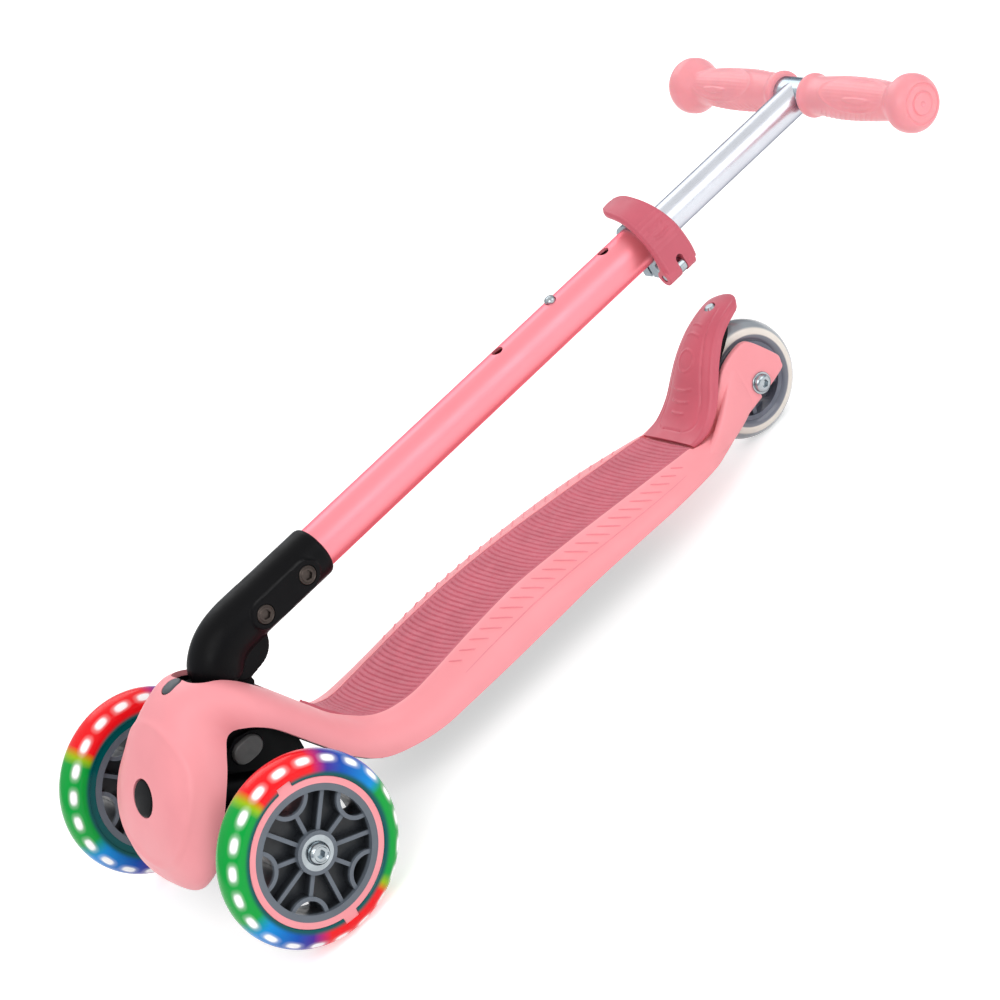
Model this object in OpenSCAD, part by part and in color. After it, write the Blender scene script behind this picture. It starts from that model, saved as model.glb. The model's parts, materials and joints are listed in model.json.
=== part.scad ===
// Folding kick scooter for small children: two steered front wheels, one rear wheel,
// a handlebar that folds back over the deck and slides to three heights.
// The rest position is folded, standing on its three wheels.
// Millimetres. +X is the way it rolls, +Y its left side, +Z up. The floor is z = 0.

/* [Wheels] */
// Diameter of each front wheel
front_d = 121; // [110:1:130]
// Diameter of the rear wheel
rear_d = 80; // [72:1:88]
// Width of the front tyres
front_w = 24; // [22:0.5:26]
// Width of the rear tyre
rear_w = 24; // [22:0.5:25]
// Distance between the middles of the two front wheels
track = 198.4; // [190:1:215]
// Distance from the front axle to the rear axle
wheelbase = 459.3; // [440:1:500]
// Shaft diameter of the wheel bolts
axle_d = 8; // [8:0.5:8]

/* [Steering] */
// Angle of the steering axis above the floor
steer_tilt = 35; // [32:1:38]
// Height of the steering axis above the front axle, measured at the axle
steer_rise = 19.5; // [18:0.5:21]
// Diameter of the king bolt
king_d = 10; // [8:1:10]

/* [Deck] */
// Width of the deck
deck_w = 114; // [106:1:122]
// Wall thickness of the deck and nose moulding
skin = 3.5; // [3:0.1:4]
// Thickness of the foot mat
mat_t = 2; // [1.6:0.1:2.6]
// Width of the nose at its widest
nose_w = 106; // [102:1:110]
// Width of the opening that the folding elbow stands in
slot_w = 39; // [38:0.5:42]

/* [Steering column] */
// Outside diameter of the lower tube
lower_d = 28.6; // [28:0.1:30]
// Outside diameter of the sliding tube
upper_d = 21.7; // [20:0.1:22]
// Angle of the folded column above level
fold_rise = 1.76; // [1:0.1:2.5]
// Height of the column's middle line above the floor over the front axle
column_z = 150.4; // [149:0.2:152]
// Distance along the column from over the front axle to the handlebar
bar_reach = 600.7; // [590:1:620]
// Distance between neighbouring height holes
hole_pitch = 50; // [40:1:50]
// How far the column swings up to ride
fold_swing = 76; // [70:1:78]

/* [Handlebar] */
// Whole width of the handlebar over the grips
bar_w = 250; // [240:1:262]
// Diameter of the cross tube
cross_d = 22; // [20:0.5:22]
// Diameter of the ball at the end of each grip
ball_d = 38; // [35:0.5:40]
// Diameter of the grips at the palm
palm_d = 28.4; // [27:0.2:30]

/* [Quick-release clamp] */
// Thickness of the clamp lever's blade
lever_t = 6; // [5:0.2:7]
// Width of the lever at its pivot
lever_w = 28; // [26:0.5:30]

/* [Hidden] */
$fn = 48;
fit = 0.05;          // radial clearance of a running fit
air = 0.4;           // gap between pieces that move apart
front_r = front_d / 2;
rear_r = rear_d / 2;
half_track = track / 2;
rear_x = -wheelbase;
// the design was drawn for these sizes, and follows the wheels when they change
lift_f = front_r - 60.5;
lift_r = rear_r - 40;
stretch = (wheelbase - 130) / 329.3;
function lift(x) = lift_f + (lift_r - lift_f) * min(1, max(0, -x / wheelbase));
function sx(x) = x > -130 ? x : -130 + (x + 130) * stretch;
bar_x = -bar_reach * cos(fold_rise);
mid_x = -(front_r + bar_x - ball_d / 2) / 2;   // moves the box's middle to x = 0
column = column_z + lift_f;
fold_x = -59;
fold_z = 132.5 + lift_f;
steer_x = 0;
steer_z = front_r + steer_rise;

// ---------- curves ----------
function cr(a, b, c, d, t) = 0.5 * (2 * b + (c - a) * t + (2 * a - 5 * b + 4 * c - d) * t * t
                             + (3 * b - a - 3 * c + d) * t * t * t);
function smooth(p, k) = [for (i = [0 : len(p) - 2]) for (j = [0 : k - 1])
    cr(p[max(i - 1, 0)], p[i], p[i + 1], p[min(i + 2, len(p) - 1)], j / k), p[len(p) - 1]];
function unit(v) = v / norm(v);
function tangent(p, i) = let (a = p[max(i - 1, 0)], b = p[min(i + 1, len(p) - 1)])
    unit([b[0] - a[0], b[1] - a[1]]);
function pw(x, e) = x <= 0 ? 0 : pow(x, e);

// a skin through equal closed rings of points; strip ends suit rings that run out along one face and back along the other
function end_faces(o, n, strip, flip) = let (f = strip ? [for (j = [0 : n / 2 - 2]) [j, j + 1, n - 2 - j, n - 1 - j]] : [[for (i = [0 : n - 1]) i]])
    [for (q = f) [for (i = [0 : len(q) - 1]) o + (flip ? q[len(q) - 1 - i] : q[i])]];
module loft(rings, strip = false) {
    n = len(rings[0]);
    m = len(rings);
    polyhedron(points = [for (r = rings) each r],
        faces = concat(end_faces(0, n, strip, false), end_faces((m - 1) * n, n, strip, true),
            [for (a = [0 : m - 2]) for (i = [0 : n - 1]) let (j = (i + 1) % n)
                each [[a * n + i, (a + 1) * n + i, (a + 1) * n + j],
                      [a * n + i, (a + 1) * n + j, a * n + j]]]), convexity = 12);
}
// puts a section point (y, n) at station s of a line in the X-Z plane
function place(s, t, y, n) = [s[0] - t[1] * n, y, s[1] + t[0] * n];

// ---------- deck and nose ----------
// x, z of the top line, half width, x, z of the lower edge, half width of the flat or mat part, roundness
deck_plan = [
    [-425, 37.5, 22.4, -424, 25.5, 17, 2.2], [-407, 39, 29, -405.7, 26, 22, 2.2], [-388, 41.2, 41, -386.5, 28.3, 27, 2.3],
    [-350, 45.6, 53, -348.5, 32.2, 28.5, 2.4], [-310, 50, 57, -308.5, 34.6, 29.5, 2.4], [-270, 54, 57, -268.5, 35.1, 30.5, 2.4],
    [-230, 56.5, 57, -229.6, 34, 31, 2.4], [-190, 55.5, 57, -191.2, 33, 33, 2.4], [-150, 52.5, 57, -151.4, 32.6, 34.5, 2.4],
    [-130, 51.5, 57, -130, 33, 34, 2.4], [-112, 53, 55, -108.8, 36, 30, 2.4], [-99, 58.5, 51.5, -88.5, 42.5, 24, 2.5],
    [-88.5, 69, 49.5, -73, 57, 15, 2.6], [-79, 84, 47.5, -62, 73.6, 8, 2.8], [-69, 101, 46, -52, 89.6, 4, 3],
    [-57, 120.5, 45, -42.5, 104.4, 2, 3], [-45, 136, 43, -34.5, 112.5, 1, 3], [-33, 146, 39, -28.5, 116, 1, 2.9],
    [-19, 151, 34, -22.8, 117.3, 1, 2.8], [-4, 147.5, 33.5, -17.2, 116.2, 1, 2.8], [10, 138.5, 39, -10.5, 112.6, 1, 2.8],
    [23, 125.5, 46.5, -0.8, 105.2, 1, 2.9], [34, 110.5, 52, 11.2, 95.6, 1, 3], [43.5, 94, 53, 22.7, 83.5, 1, 3],
    [50.5, 77, 48.5, 32, 71.2, 1, 2.9], [53.5, 61, 38.5, 37.4, 60.6, 1, 2.7], [51.5, 48.5, 25, 41, 52.6, 1, 2.5], [46, 40.5, 8, 42.2, 43.7, 0.5, 2.4]];
function fitted(p) = [sx(p[0]), p[1] + lift(p[0]), p[2] * (p[0] < -95 ? deck_w / 114 : nose_w / 106), sx(p[3]), p[4] + lift(p[3]), p[5], p[6]];
deck_line = smooth([for (p = deck_plan) fitted(p)], 2);
band = [for (i = [0 : 7]) i / 7];
flat = [0.33, 0.67];
// a point of a section: y to the side, n above the top line in the plane through the lower edge
function put(s, y, n) = let (u = unit([s[0] - s[3], s[1] - s[4]])) [s[0] + u[0] * n, y, s[1] + u[1] * n];
// one side's outer edge of a section, from the middle outwards: inset is how far it lies inside the outer face
function half_section(s, inset, extra) = let (w = s[2] - inset, m = min(s[5], w - 0.5), d = norm([s[0] - s[3], s[1] - s[4]]) + extra)
    concat([for (u = flat) [m * u, -inset]],
           [for (u = band) let (a = 90 * u) [m + (w - m) * pw(sin(a), 2 / s[6]),
                -inset - (d - inset) * (1 - pw(cos(a), 0.9))]]);
function arch_ring(s, o, i, extra) = let (a = half_section(s, o, extra), b = half_section(s, i, extra), n = len(a))
    concat([for (k = [n - 1 : -1 : 0]) put(s, a[k][0], a[k][1])], [put(s, 0, -o)],
           [for (k = [0 : n - 1]) put(s, -a[k][0], a[k][1])],
           [for (k = [n - 1 : -1 : 0]) put(s, -b[k][0], b[k][1])], [put(s, 0, -i)],
           [for (k = [0 : n - 1]) put(s, b[k][0], b[k][1])]);
module arch(line, o, i, extra = 0) loft([for (p = line) arch_ring(p, o, i, extra)], true);
function part_of(line, a, b) = [for (k = [a : b]) line[k]];

arm_in = rear_w / 2 + 4.5;
arm_t = 5.5;
arm_pts = [[-60, 22], [-40, 24], [-18, 28], [0, 31.5], [20, 37], [22.5, 43], [21, 50], [15.5, 60], [8, 68], [0, 70.5],
           [-10, 69.5], [-20, 65.6], [-30, 57.8], [-42, 47.6], [-56, 40.8], [-70, 38.5], [-74, 30]];
module arm_plate(y0, y1) translate([rear_x, 0, lift_r]) rotate([90, 0, 0]) translate([0, 0, -y1])
    linear_extrude(y1 - y0) polygon([for (p = arm_pts) [-p[0], p[1]]]);
// way in for the folding elbow: a side profile with rounded front corners in plan
corner = 10;
module slot_hole(pts, w, front) intersection() {
    raised(pts, -w, w);
    union() {
        translate([-100, -w, 0]) cube([front - corner + 100, 2 * w, 200]);
        translate([front - corner, corner - w, 0]) cube([corner, 2 * (w - corner), 200]);
        for (s = [-1, 1]) translate([front - corner, s * (w - corner), 0]) cylinder(r = corner, h = 200);
    }
}
module deck_shell() color([0.97, 0.62, 0.66]) difference() {
    union() {
        difference() {
            arch(deck_line, 0, skin);
            // room for the foot of the brake pedal
            translate([rear_x, 29.5, lift_r]) rotate([90, 0, 0]) linear_extrude(59)
                polygon([[20, 36.9], [52, 37.2], [71.8, 39.6], [71.8, 60], [20, 60]]);
        }
        for (s = [-1, 1]) arm_plate(s > 0 ? arm_in : -arm_in - arm_t, s > 0 ? arm_in + arm_t : -arm_in);
    }
    slot_hole(slot_pts, slot_w / 2, -23.5);
    // room for the tyre and the brake's knuckles
    translate([rear_x + 20, -arm_in, 10]) cube([brake_cut - 20, 2 * arm_in, 60]);
    // seats of the axle, the brake pin, the steering lock button and the nose cap
    translate([rear_x, 60, rear_r]) rotate([90, 0, 0]) cylinder(d = axle_d + 0.1, h = 120);
    translate([rear_x - axle_d / 2 - 0.05, -60, 0]) cube([axle_d + 0.1, 120, rear_r]);
    translate([brake_x, arm_in + arm_t - 1.5, brake_z]) rotate([90, 0, 0]) cylinder(d = brake_pin_d, h = 2 * (arm_in + arm_t) - 3);
    at_lock() translate([0, 0, -20]) cylinder(d = lock_d + 2 * air, h = 40);
    at_steer(20) cylinder(d = cap_d - 3, h = 60);
    at_steer(cap_seat) cylinder(d = cap_d + 0.4, h = 20);
    screw_spots() translate([0, 0, -30]) cylinder(d = 3.5, h = 30 - 1.4);
}
slot_pts = [[-80, 132], [-62.2, 118.5], [-55.1, 108], [-46, 98], [-22, 128], [-23.5, 146], [-23.5, 165], [-80, 170]];
brake_cut = 63;

// black frame that stiffens the deck from below, held by screws
frame_from = 6;
frame_to = 22;
function line_z(x) = lookup(x, [for (p = deck_line) [p[0], p[1]]]);
screw_x = [for (u = [0.697, 0.496, 0.3]) -wheelbase * u];
module screw_spots() for (x = screw_x, y = [-19, 19]) translate([x, y, line_z(x)]) children();
module deck_frame() color([0.1, 0.1, 0.11]) difference() {
    union() {
        arch(part_of(deck_line, frame_from, frame_to), skin + 0.05, skin + 2.6, 1.2);
        for (x = [for (u = [0.762, 0.631, 0.501, 0.37, 0.261]) -wheelbase * u]) translate([x - 1.3, -deck_w / 2 + 21, line_z(x) - 17]) cube([2.6, deck_w - 42, 17 - skin - 1.4]);
        for (y = [-28, 28]) translate([0, y + 1.3, 0]) rotate([90, 0, 0]) linear_extrude(2.6) polygon(concat(
            [for (k = [frame_from + 1 : 3 : frame_to - 3]) [deck_line[k][0], deck_line[k][1] - skin - 1.3]],
            [for (k = [frame_to - 3 : -3 : frame_from + 1]) [deck_line[k][0], deck_line[k][1] - skin - 8]]));
    }
    screw_spots() translate([0, 0, -30]) cylinder(d = 3.52, h = 60);
    screw_spots() translate([0, 0, -40]) cylinder(d = 7.4, h = 40 - skin - 1.4);
}
module deck_screws() color([0.6, 0.6, 0.62]) screw_spots() {
    translate([0, 0, -skin - 1.4]) cylinder(d = 3.5, h = skin);
    translate([0, 0, -skin - 3.4]) cylinder(d = 6.8, h = 2);
}

// the foot mat lies on the deck's flat top
mat_from = 4;
mat_to = 25;
function mat_ring(s, w) = [put(s, w, 0.05), put(s, w, mat_t), put(s, w * 0.66, mat_t - 0.5), put(s, 0, mat_t - 0.8),
    put(s, -w * 0.66, mat_t - 0.5), put(s, -w, mat_t), put(s, -w, 0.05)];
module deck_mat() color([0.82, 0.42, 0.47]) loft([for (k = [mat_from : mat_to])
    mat_ring(deck_line[k], (deck_line[k][5] - 0.4) * (k > mat_to - 3 ? sqrt(1 - pow((k - mat_to + 3) / 3.3, 2)) : 1))]);

// ---------- steering ----------
// frame of the steering axis: its z runs up and forwards along the axis
module at_steer(s) translate([steer_x, 0, steer_z]) rotate([0, 90 - steer_tilt, 0]) translate([0, 0, s]) children();
hub_r = 15;
hub_lo = -33;
hub_hi = 9;
bush_t = 3;
lug_t = 11;
// black lining of the nose
module nose_liner() color([0.1, 0.1, 0.11]) difference() {
    arch(part_of(deck_line, frame_to, len(deck_line) - 3), skin + 0.05, skin + 2.6, 1.2);
    slot_hole([[-80, 126], [-64, 113], [-58, 106], [-46, 96], [-20, 126], [-22.5, 146], [-22.5, 165], [-80, 170]], slot_w / 2 + 0.5, -22.5);
    at_lock() translate([0, 0, -20]) cylinder(d = lock_d + 2 * air, h = 40);
    at_steer(20) cylinder(d = cap_d - 3, h = 60);
}

// black carrier: lugs for the king bolt, tongue for the fold pin, pockets of the push buttons, guide of the lock button
tongue_w = 11.6;
core_y = 26.5;
cheek_y = 30;
knuckle_r = 9.5;
core_pts = [[-49.5, 64.4], [10.7, 106.6], [2, 118], [-8, 123.5], [-20, 127], [-21.5, 123.5], [-29.1, 120.4], [-32.9, 113.5], [-38.2, 107.8],
            [-44.9, 103.5], [-52, 101], [-56, 97], [-58, 90], [-57, 72]];
cheek_pts = [[-50, 70], [-20, 87], [-8, 97], [-12, 106], [-22, 110.5], [-33, 108], [-44, 99.5], [-52, 88]];
module raised(pts, y0, y1) translate([0, y1, 0]) rotate([90, 0, 0]) linear_extrude(y1 - y0) polygon([for (p = pts) [p[0], p[1] + lift_f]]);
module nose_core() color([0.09, 0.09, 0.1]) difference() {
    union() {
        raised(core_pts, -core_y, core_y);
        raised(cheek_pts, -cheek_y, cheek_y);
        at_steer(0) {
            translate([-19, -14, hub_hi + bush_t]) cube([33, 28, nose_reach - hub_hi - bush_t]);
            translate([-19, -14, hub_lo - bush_t - lug_t]) cube([31, 28, lug_t]);
        }
        raised([[-21.8, 126], [-10.5, 126], [-11.5, 142.5], [-21.8, 142.5]], -9, 9);
        translate([fold_x, tongue_w / 2, fold_z]) rotate([90, 0, 0]) {
            cylinder(r = knuckle_r, h = tongue_w);
            linear_extrude(tongue_w) polygon([[0, 0], for (q = [[14.2, -98], [28, -78], [36, -75], [36, -58]]) q[0] * [cos(q[1]), sin(q[1])]]);
        }
    }
    // room of the steering hub
    at_steer(hub_lo - bush_t) cylinder(r = hub_r + 0.6, h = hub_hi - hub_lo + 2 * bush_t);
    at_steer(hub_hi + bush_t + lug_t) cylinder(d = cap_d - 3, h = 40);
    at_steer(hub_lo - 40) cylinder(d = king_d + 0.1, h = 120);
    translate([fold_x, 40, fold_z]) rotate([90, 0, 0]) cylinder(d = pin_d + 0.02, h = 80);
    at_lock() translate([0, 0, -30]) cylinder(d = lock_d - 3 + 2 * fit, h = 40);
    for (s = [-1, 1]) {
        at_push(s) push_body(-9, 10, air);
        at_push(s) translate([0, 0, -17]) cylinder(d = 5 + 2 * fit, h = 20);
    }
}
nose_reach = 35;
module king_bolt() color([0.7, 0.7, 0.72]) at_steer(hub_lo - bush_t - lug_t - 9) {
    cylinder(d = king_d, h = hub_hi - hub_lo + 2 * (bush_t + lug_t) + 9);
    translate([0, 0, hub_hi - hub_lo + 2 * (bush_t + lug_t) + 9]) difference() {
        cylinder(d = king_d * 1.7, h = 6, $fn = 6);
        translate([0, 0, 3]) cylinder(d = king_d * 0.8, h = 4);
    }
}
module king_nut() color([0.7, 0.7, 0.72]) at_steer(hub_lo - bush_t - lug_t - 8) difference() {
    cylinder(d = king_d * 1.7, h = 8, $fn = 6);
    translate([0, 0, -1]) cylinder(d = king_d + 0.02, h = 10);
}
module steer_bushes() color([0.85, 0.83, 0.76]) for (z = [hub_lo - bush_t + 0.3, hub_hi]) at_steer(z) difference() {
    cylinder(r = hub_r - 1, h = bush_t - 0.3);
    translate([0, 0, -1]) cylinder(d = king_d + 2 * fit, h = bush_t + 2);
}
arm_end = half_track - front_w / 2 - 0.8;
module truck() color([0.1, 0.1, 0.11]) difference() {
    union() {
        at_steer(hub_lo) cylinder(r = hub_r, h = hub_hi - hub_lo);
        // cross beam between the wheels
        translate([0, arm_end - 4, front_r]) rotate([90, 0, 0]) cylinder(r = 9.5, h = 2 * arm_end - 8);
        for (s = [-1, 1]) translate([0, s * arm_end, front_r]) rotate([s * 90, 0, 0]) cylinder(r1 = 7, r2 = 9.5, h = 5);
        translate([-13, -11, front_r - 4]) cube([16, 22, 20]);
        // gusset ribs
        for (s = [-1, 1]) translate([-2, s > 0 ? 8 : -48, front_r]) rotate([0, 0, 0]) cube([4, 40, 11]);
    }
    at_steer(hub_lo - 40) cylinder(d = king_d + 2 * fit, h = 120);
    for (s = [-1, 1]) translate([0, s * (arm_end + 1), front_r]) rotate([s * 90, 0, 0]) cylinder(d = axle_d + 0.02, h = 30);
}
cap_d = 24;
module nose_cap() color([0.1, 0.1, 0.1]) at_steer(0) {
    translate([0, 0, cap_seat]) cylinder(d1 = cap_d, d2 = cap_d - 5, h = 2.6);
    translate([0, 0, cap_seat - 9]) difference() {
        cylinder(d = cap_d - 3.1, h = 9.5);
        translate([0, 0, -1]) cylinder(d = cap_d - 7, h = 9);
    }
}
cap_seat = 43;

// ---------- front wheels ----------
// a wheel is drawn about its own middle with its outer side towards +Y
rim_r = front_r * 0.693;
ring_r = front_r * 0.76;
module spin(y0, y1, r, f = 96) translate([0, y1, 0]) rotate([90, 0, 0]) cylinder(r = r, h = y1 - y0, $fn = f);
bear_d = 22;
bear_w = 7;
bear_out = front_w / 2 - 1;
module wheel_hub() difference() {
    union() {
        difference() { spin(-front_w / 2 + 1.2, front_w / 2 - 1.2, rim_r); spin(-20, 20, rim_r - 4.3); }
        spin(-front_w / 2 + 1, front_w / 2 - 1, 13.5);
        // thin web with five straight and five forked spokes
        for (i = [0 : 4]) rotate([0, -(i * 72 + 95), 0]) {
            translate([12, -8, -1.3]) cube([rim_r - 24.5, 16.5, 2.6]);
            rotate([0, 36, 0]) translate([12, -8, -1.3]) cube([rim_r - 14.5, 16.5, 2.6]);
            intersection() {
                translate([rim_r - 1.5, 0, 0]) difference() { spin(-9, 9.5, 13.8, 48); spin(-20, 20, 11.2, 48); }
                spin(-12, 12, rim_r - 2);
            }
        }
        difference() { spin(-1.5, 1.5, rim_r - 2); for (i = [0 : 4]) rotate([0, -(i * 72 + 95), 0]) translate([rim_r - 1.5, 0, 0]) spin(-20, 20, 12.5, 48); }
    }
    spin(-20, 20, 6.5);
    spin(bear_out - bear_w, 20, bear_d / 2);
    spin(-20, -bear_out + bear_w, bear_d / 2);
}
ring_y = front_w / 2 - 2.8;
module ring_tabs(more) for (a = [-95.7, -275.3]) rotate([0, a, 0]) translate([ring_r - 4, ring_y - more, -5 - more])
    cube([8.2 + more, 1.6 + 2 * more, 10 + 2 * more]);
module wheel_ring() difference() {
    union() {
        spin(ring_y, ring_y + 1.6, ring_r);
        ring_tabs(0);
    }
    spin(0, 20, rim_r + 0.05);
}
tyre_core = rim_r;
module wheel_tyre() difference() {
    rotate([-90, 0, 0]) rotate_extrude($fn = 96) polygon(concat(
        [[tyre_core, -front_w / 2 + 1.4], [tyre_core, front_w / 2 - 2.9]],
        [[ring_r + 0.2, front_w / 2 - 2.9], [ring_r + 0.2, front_w / 2 - 0.6]],
        [for (i = [0 : 10]) let (a = 90 - 18 * i) [front_r - 10 + 10 * cos(a), (front_w / 2) * sin(a)]],
        [[ring_r + 0.2, -front_w / 2 + 0.6], [ring_r + 0.2, -front_w / 2 + 1.4]]));
    ring_tabs(0.1);
    // channel for the lights
    rotate([90, 0, 0]) rotate_extrude($fn = 96) translate([tyre_core - 1, -4]) square([5, 8]);
}
// ring of lights in the tyre, turned by the wheel
module wheel_light() rotate([90, 0, 0]) rotate_extrude($fn = 96) translate([tyre_core + 0.02, -3.9]) square([3.9, 7.8]);
module bearings(out, w = bear_w) for (s = [-1, 1]) difference() {
    spin(min(s * out, s * (out - w)), max(s * out, s * (out - w)), bear_d / 2);
    spin(-30, 30, axle_d / 2 + fit);
}
module bear_sleeve(out) difference() { spin(-out + bear_w, out - bear_w, 6.4); spin(-30, 30, axle_d / 2 + fit + 0.1); }
module at_wheel(s) translate([0, s * half_track, front_r]) rotate([0, 0, s > 0 ? 0 : 180]) children();
module front_bolts() color([0.75, 0.75, 0.78]) for (s = [-1, 1]) at_wheel(s) difference() {
    union() {
        spin(-front_w / 2 - 22, bear_out + 0.4, axle_d / 2);
        spin(bear_out + 0.4, bear_out + 4.4, 7.3);
    }
    translate([0, bear_out + 5, 0]) rotate([90, 0, 0]) cylinder(d = 5.8, h = 3.5, $fn = 6);
}
module front_spacers() color([0.62, 0.63, 0.65]) for (s = [-1, 1]) at_wheel(s) difference() {
    spin(-front_w / 2 - 0.8, -bear_out - 0.4, 6.2);
    spin(-30, 30, axle_d / 2 + 0.01);
}

// ---------- rear wheel ----------
module at_rear() translate([rear_x, 0, rear_r]) children();
rrim = rear_r * 0.66;
module rear_hub() color([0.5, 0.51, 0.54]) at_rear() difference() {
    union() {
        difference() { spin(-rear_w / 2 + 1.5, rear_w / 2 - 1.5, rrim); spin(-20, 20, rrim - 3); }
        spin(-rear_w / 2 + 0.6, rear_w / 2 - 0.6, 13.2);
        spin(-2, 2, rrim - 1);
        for (i = [0 : 4]) rotate([0, i * 72, 0]) translate([11, -8.5, -1.6]) cube([rrim - 13, 17, 3.2]);
    }
    spin(-20, 20, 6.5);
    spin(rear_w / 2 - 0.5 - bear_w, 20, bear_d / 2);
    spin(-20, -rear_w / 2 + 0.5 + bear_w, bear_d / 2);
    for (i = [0 : 4]) rotate([0, i * 72 + 36, 0]) translate([19.5, 0, 0]) spin(-20, 20, 4, 36);
}
module rear_tyre() color([0.9, 0.88, 0.8, 0.7]) at_rear() rotate([90, 0, 0]) rotate_extrude($fn = 96) polygon(concat(
    [[rrim, -rear_w / 2 + 2], [rrim, rear_w / 2 - 2]],
    [for (i = [0 : 10]) let (a = 90 - 18 * i) [rear_r - 9 + 9 * cos(a), (rear_w / 2) * sin(a)]]));
module rear_axle_bolt() color([0.75, 0.75, 0.78]) at_rear() difference() {
    union() {
        spin(-arm_in - arm_t - 1.2, arm_in + arm_t + 8, axle_d / 2);
        spin(-arm_in - arm_t - 6, -arm_in - arm_t - 1.2, 7);
    }
    translate([0, -arm_in - arm_t - 3.2, 0]) rotate([90, 0, 0]) cylinder(d = 5.8, h = 4, $fn = 6);
}
module rear_axle_nut() color([0.72, 0.72, 0.75]) at_rear() difference() {
    translate([0, arm_in + arm_t + 7.6, 0]) rotate([90, 0, 0]) cylinder(r = 7.3, h = 6.4, $fn = 6);
    spin(-40, 40, axle_d / 2 + 0.01);
}
module rear_washers() color([0.8, 0.8, 0.82]) at_rear() for (y = [-arm_in - arm_t - 1.2, arm_in + arm_t]) difference() {
    spin(y, y + 1.2, 8.5);
    spin(-40, 40, axle_d / 2 + 0.01);
}
module rear_spacers() color([0.62, 0.63, 0.65]) at_rear() for (s = [-1, 1]) difference() {
    spin(min(s * arm_in, s * (rear_w / 2 - 0.1)), max(s * arm_in, s * (rear_w / 2 - 0.1)), 6.2);
    spin(-40, 40, axle_d / 2 + 0.01);
}

// ---------- rear brake ----------
brake_x = rear_x + 57;
brake_z = 36.5 + lift_r;
brake_pin_d = 5;
// along x, z of the crest, half width, crown
brake_plan = [[70, 44.6, 26.5, 1.2], [63, 47.3, 27.5, 3.8], [55.5, 51.5, 27, 6.4], [46, 59.8, 25.5, 8], [36, 71.5, 23.2, 8.5], [26, 81, 21, 8.2],
              [14, 89.5, 18.3, 7.6], [2, 94.2, 16.5, 6.6], [-8, 96, 15.2, 5.5], [-16, 95.6, 13, 4.2], [-21, 94.2, 10, 2.6], [-24, 92.4, 6, 1]];
brake_line = smooth([for (p = brake_plan) [rear_x + p[0], p[1] + lift_r, p[2], p[3]]], 3);
function across(w, c, n) = [for (i = [-4 : 4]) let (u = i / 4) [w * u, -n - c * u * u]];
function pedal_ring(s, t, n0, n1) = concat([for (p = across(s[2], s[3], n0)) place(s, t, p[0], -p[1])],
    [for (p = across(s[2] - 0.6, s[3], n1)) place(s, t, -p[0], -p[1])]);
module brake_pedal() color([0.84, 0.45, 0.5]) difference() {
    union() {
        loft([for (k = [0 : len(brake_line) - 1]) pedal_ring(brake_line[k], tangent(brake_line, k), 0, 3.2)], true);
        // hinge knuckles
        for (s = [-1, 1]) {
            translate([brake_x, s * 11 + 3, brake_z]) rotate([90, 0, 0]) cylinder(r = 4.6, h = 6);
            translate([brake_x - 3, s * 11 - 3, brake_z]) cube([6, 6, 11]);
        }
    }
    translate([brake_x, 60, brake_z]) rotate([90, 0, 0]) cylinder(d = brake_pin_d + 2 * fit, h = 120);
    translate([rivet_x, 0, rivet_z - 10]) cylinder(d = 5, h = 20);
    translate([rivet_x, 0, rivet_z + 0.2]) cylinder(d = 8.4, h = 20);
}
rivet_x = rear_x - 5.6;
rivet_z = 94.8 + lift_r;
module brake_rivet() color([0.8, 0.8, 0.82]) translate([rivet_x, 0, rivet_z]) {
    translate([0, 0, -10]) cylinder(d = 5, h = 10.5);
    translate([0, 0, 0.2]) cylinder(d1 = 8, d2 = 5.5, h = 1.4);
}
// black lining under the pedal, with walls that hang down on both sides of the tyre
lining_y = arm_in - 1.1;
wall_h = 12;
liner_from = 9;
liner_to = 20;
function under(s, w, n) = [for (i = [-4 : 4]) let (y = w * i / 4) [y, n + lookup(y, [for (q = across(s[2] - 0.6, s[3], 0)) [q[0], -q[1]]])]];
module brake_liner() color([0.1, 0.1, 0.11]) loft([for (k = [liner_from : liner_to]) let (p = brake_line[k], t = tangent(brake_line, k), w = lining_y, e = p[3] + wall_h)
    concat([place(p, t, -w, e)], [for (q = under(p, w, 3.23)) place(p, t, q[0], q[1])],
           [place(p, t, w, e), place(p, t, w - 1.4, e)],
           [for (q = under(p, w - 1.4, 4.6)) place(p, t, -q[0], q[1])],
           [place(p, t, -w + 1.4, e)])], true);
module brake_pad() color([0.16, 0.16, 0.17]) translate([rivet_x - 7, -7, rivet_z - 11.4]) difference() {
    cube([14, 14, 5.9]);
    translate([7, 7, -1]) cylinder(d = 5.02, h = 8);
}
module brake_pin() color([0.7, 0.7, 0.72]) translate([brake_x, arm_in + arm_t - 1.5, brake_z]) rotate([90, 0, 0]) cylinder(d = brake_pin_d, h = 2 * (arm_in + arm_t) - 3);

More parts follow.
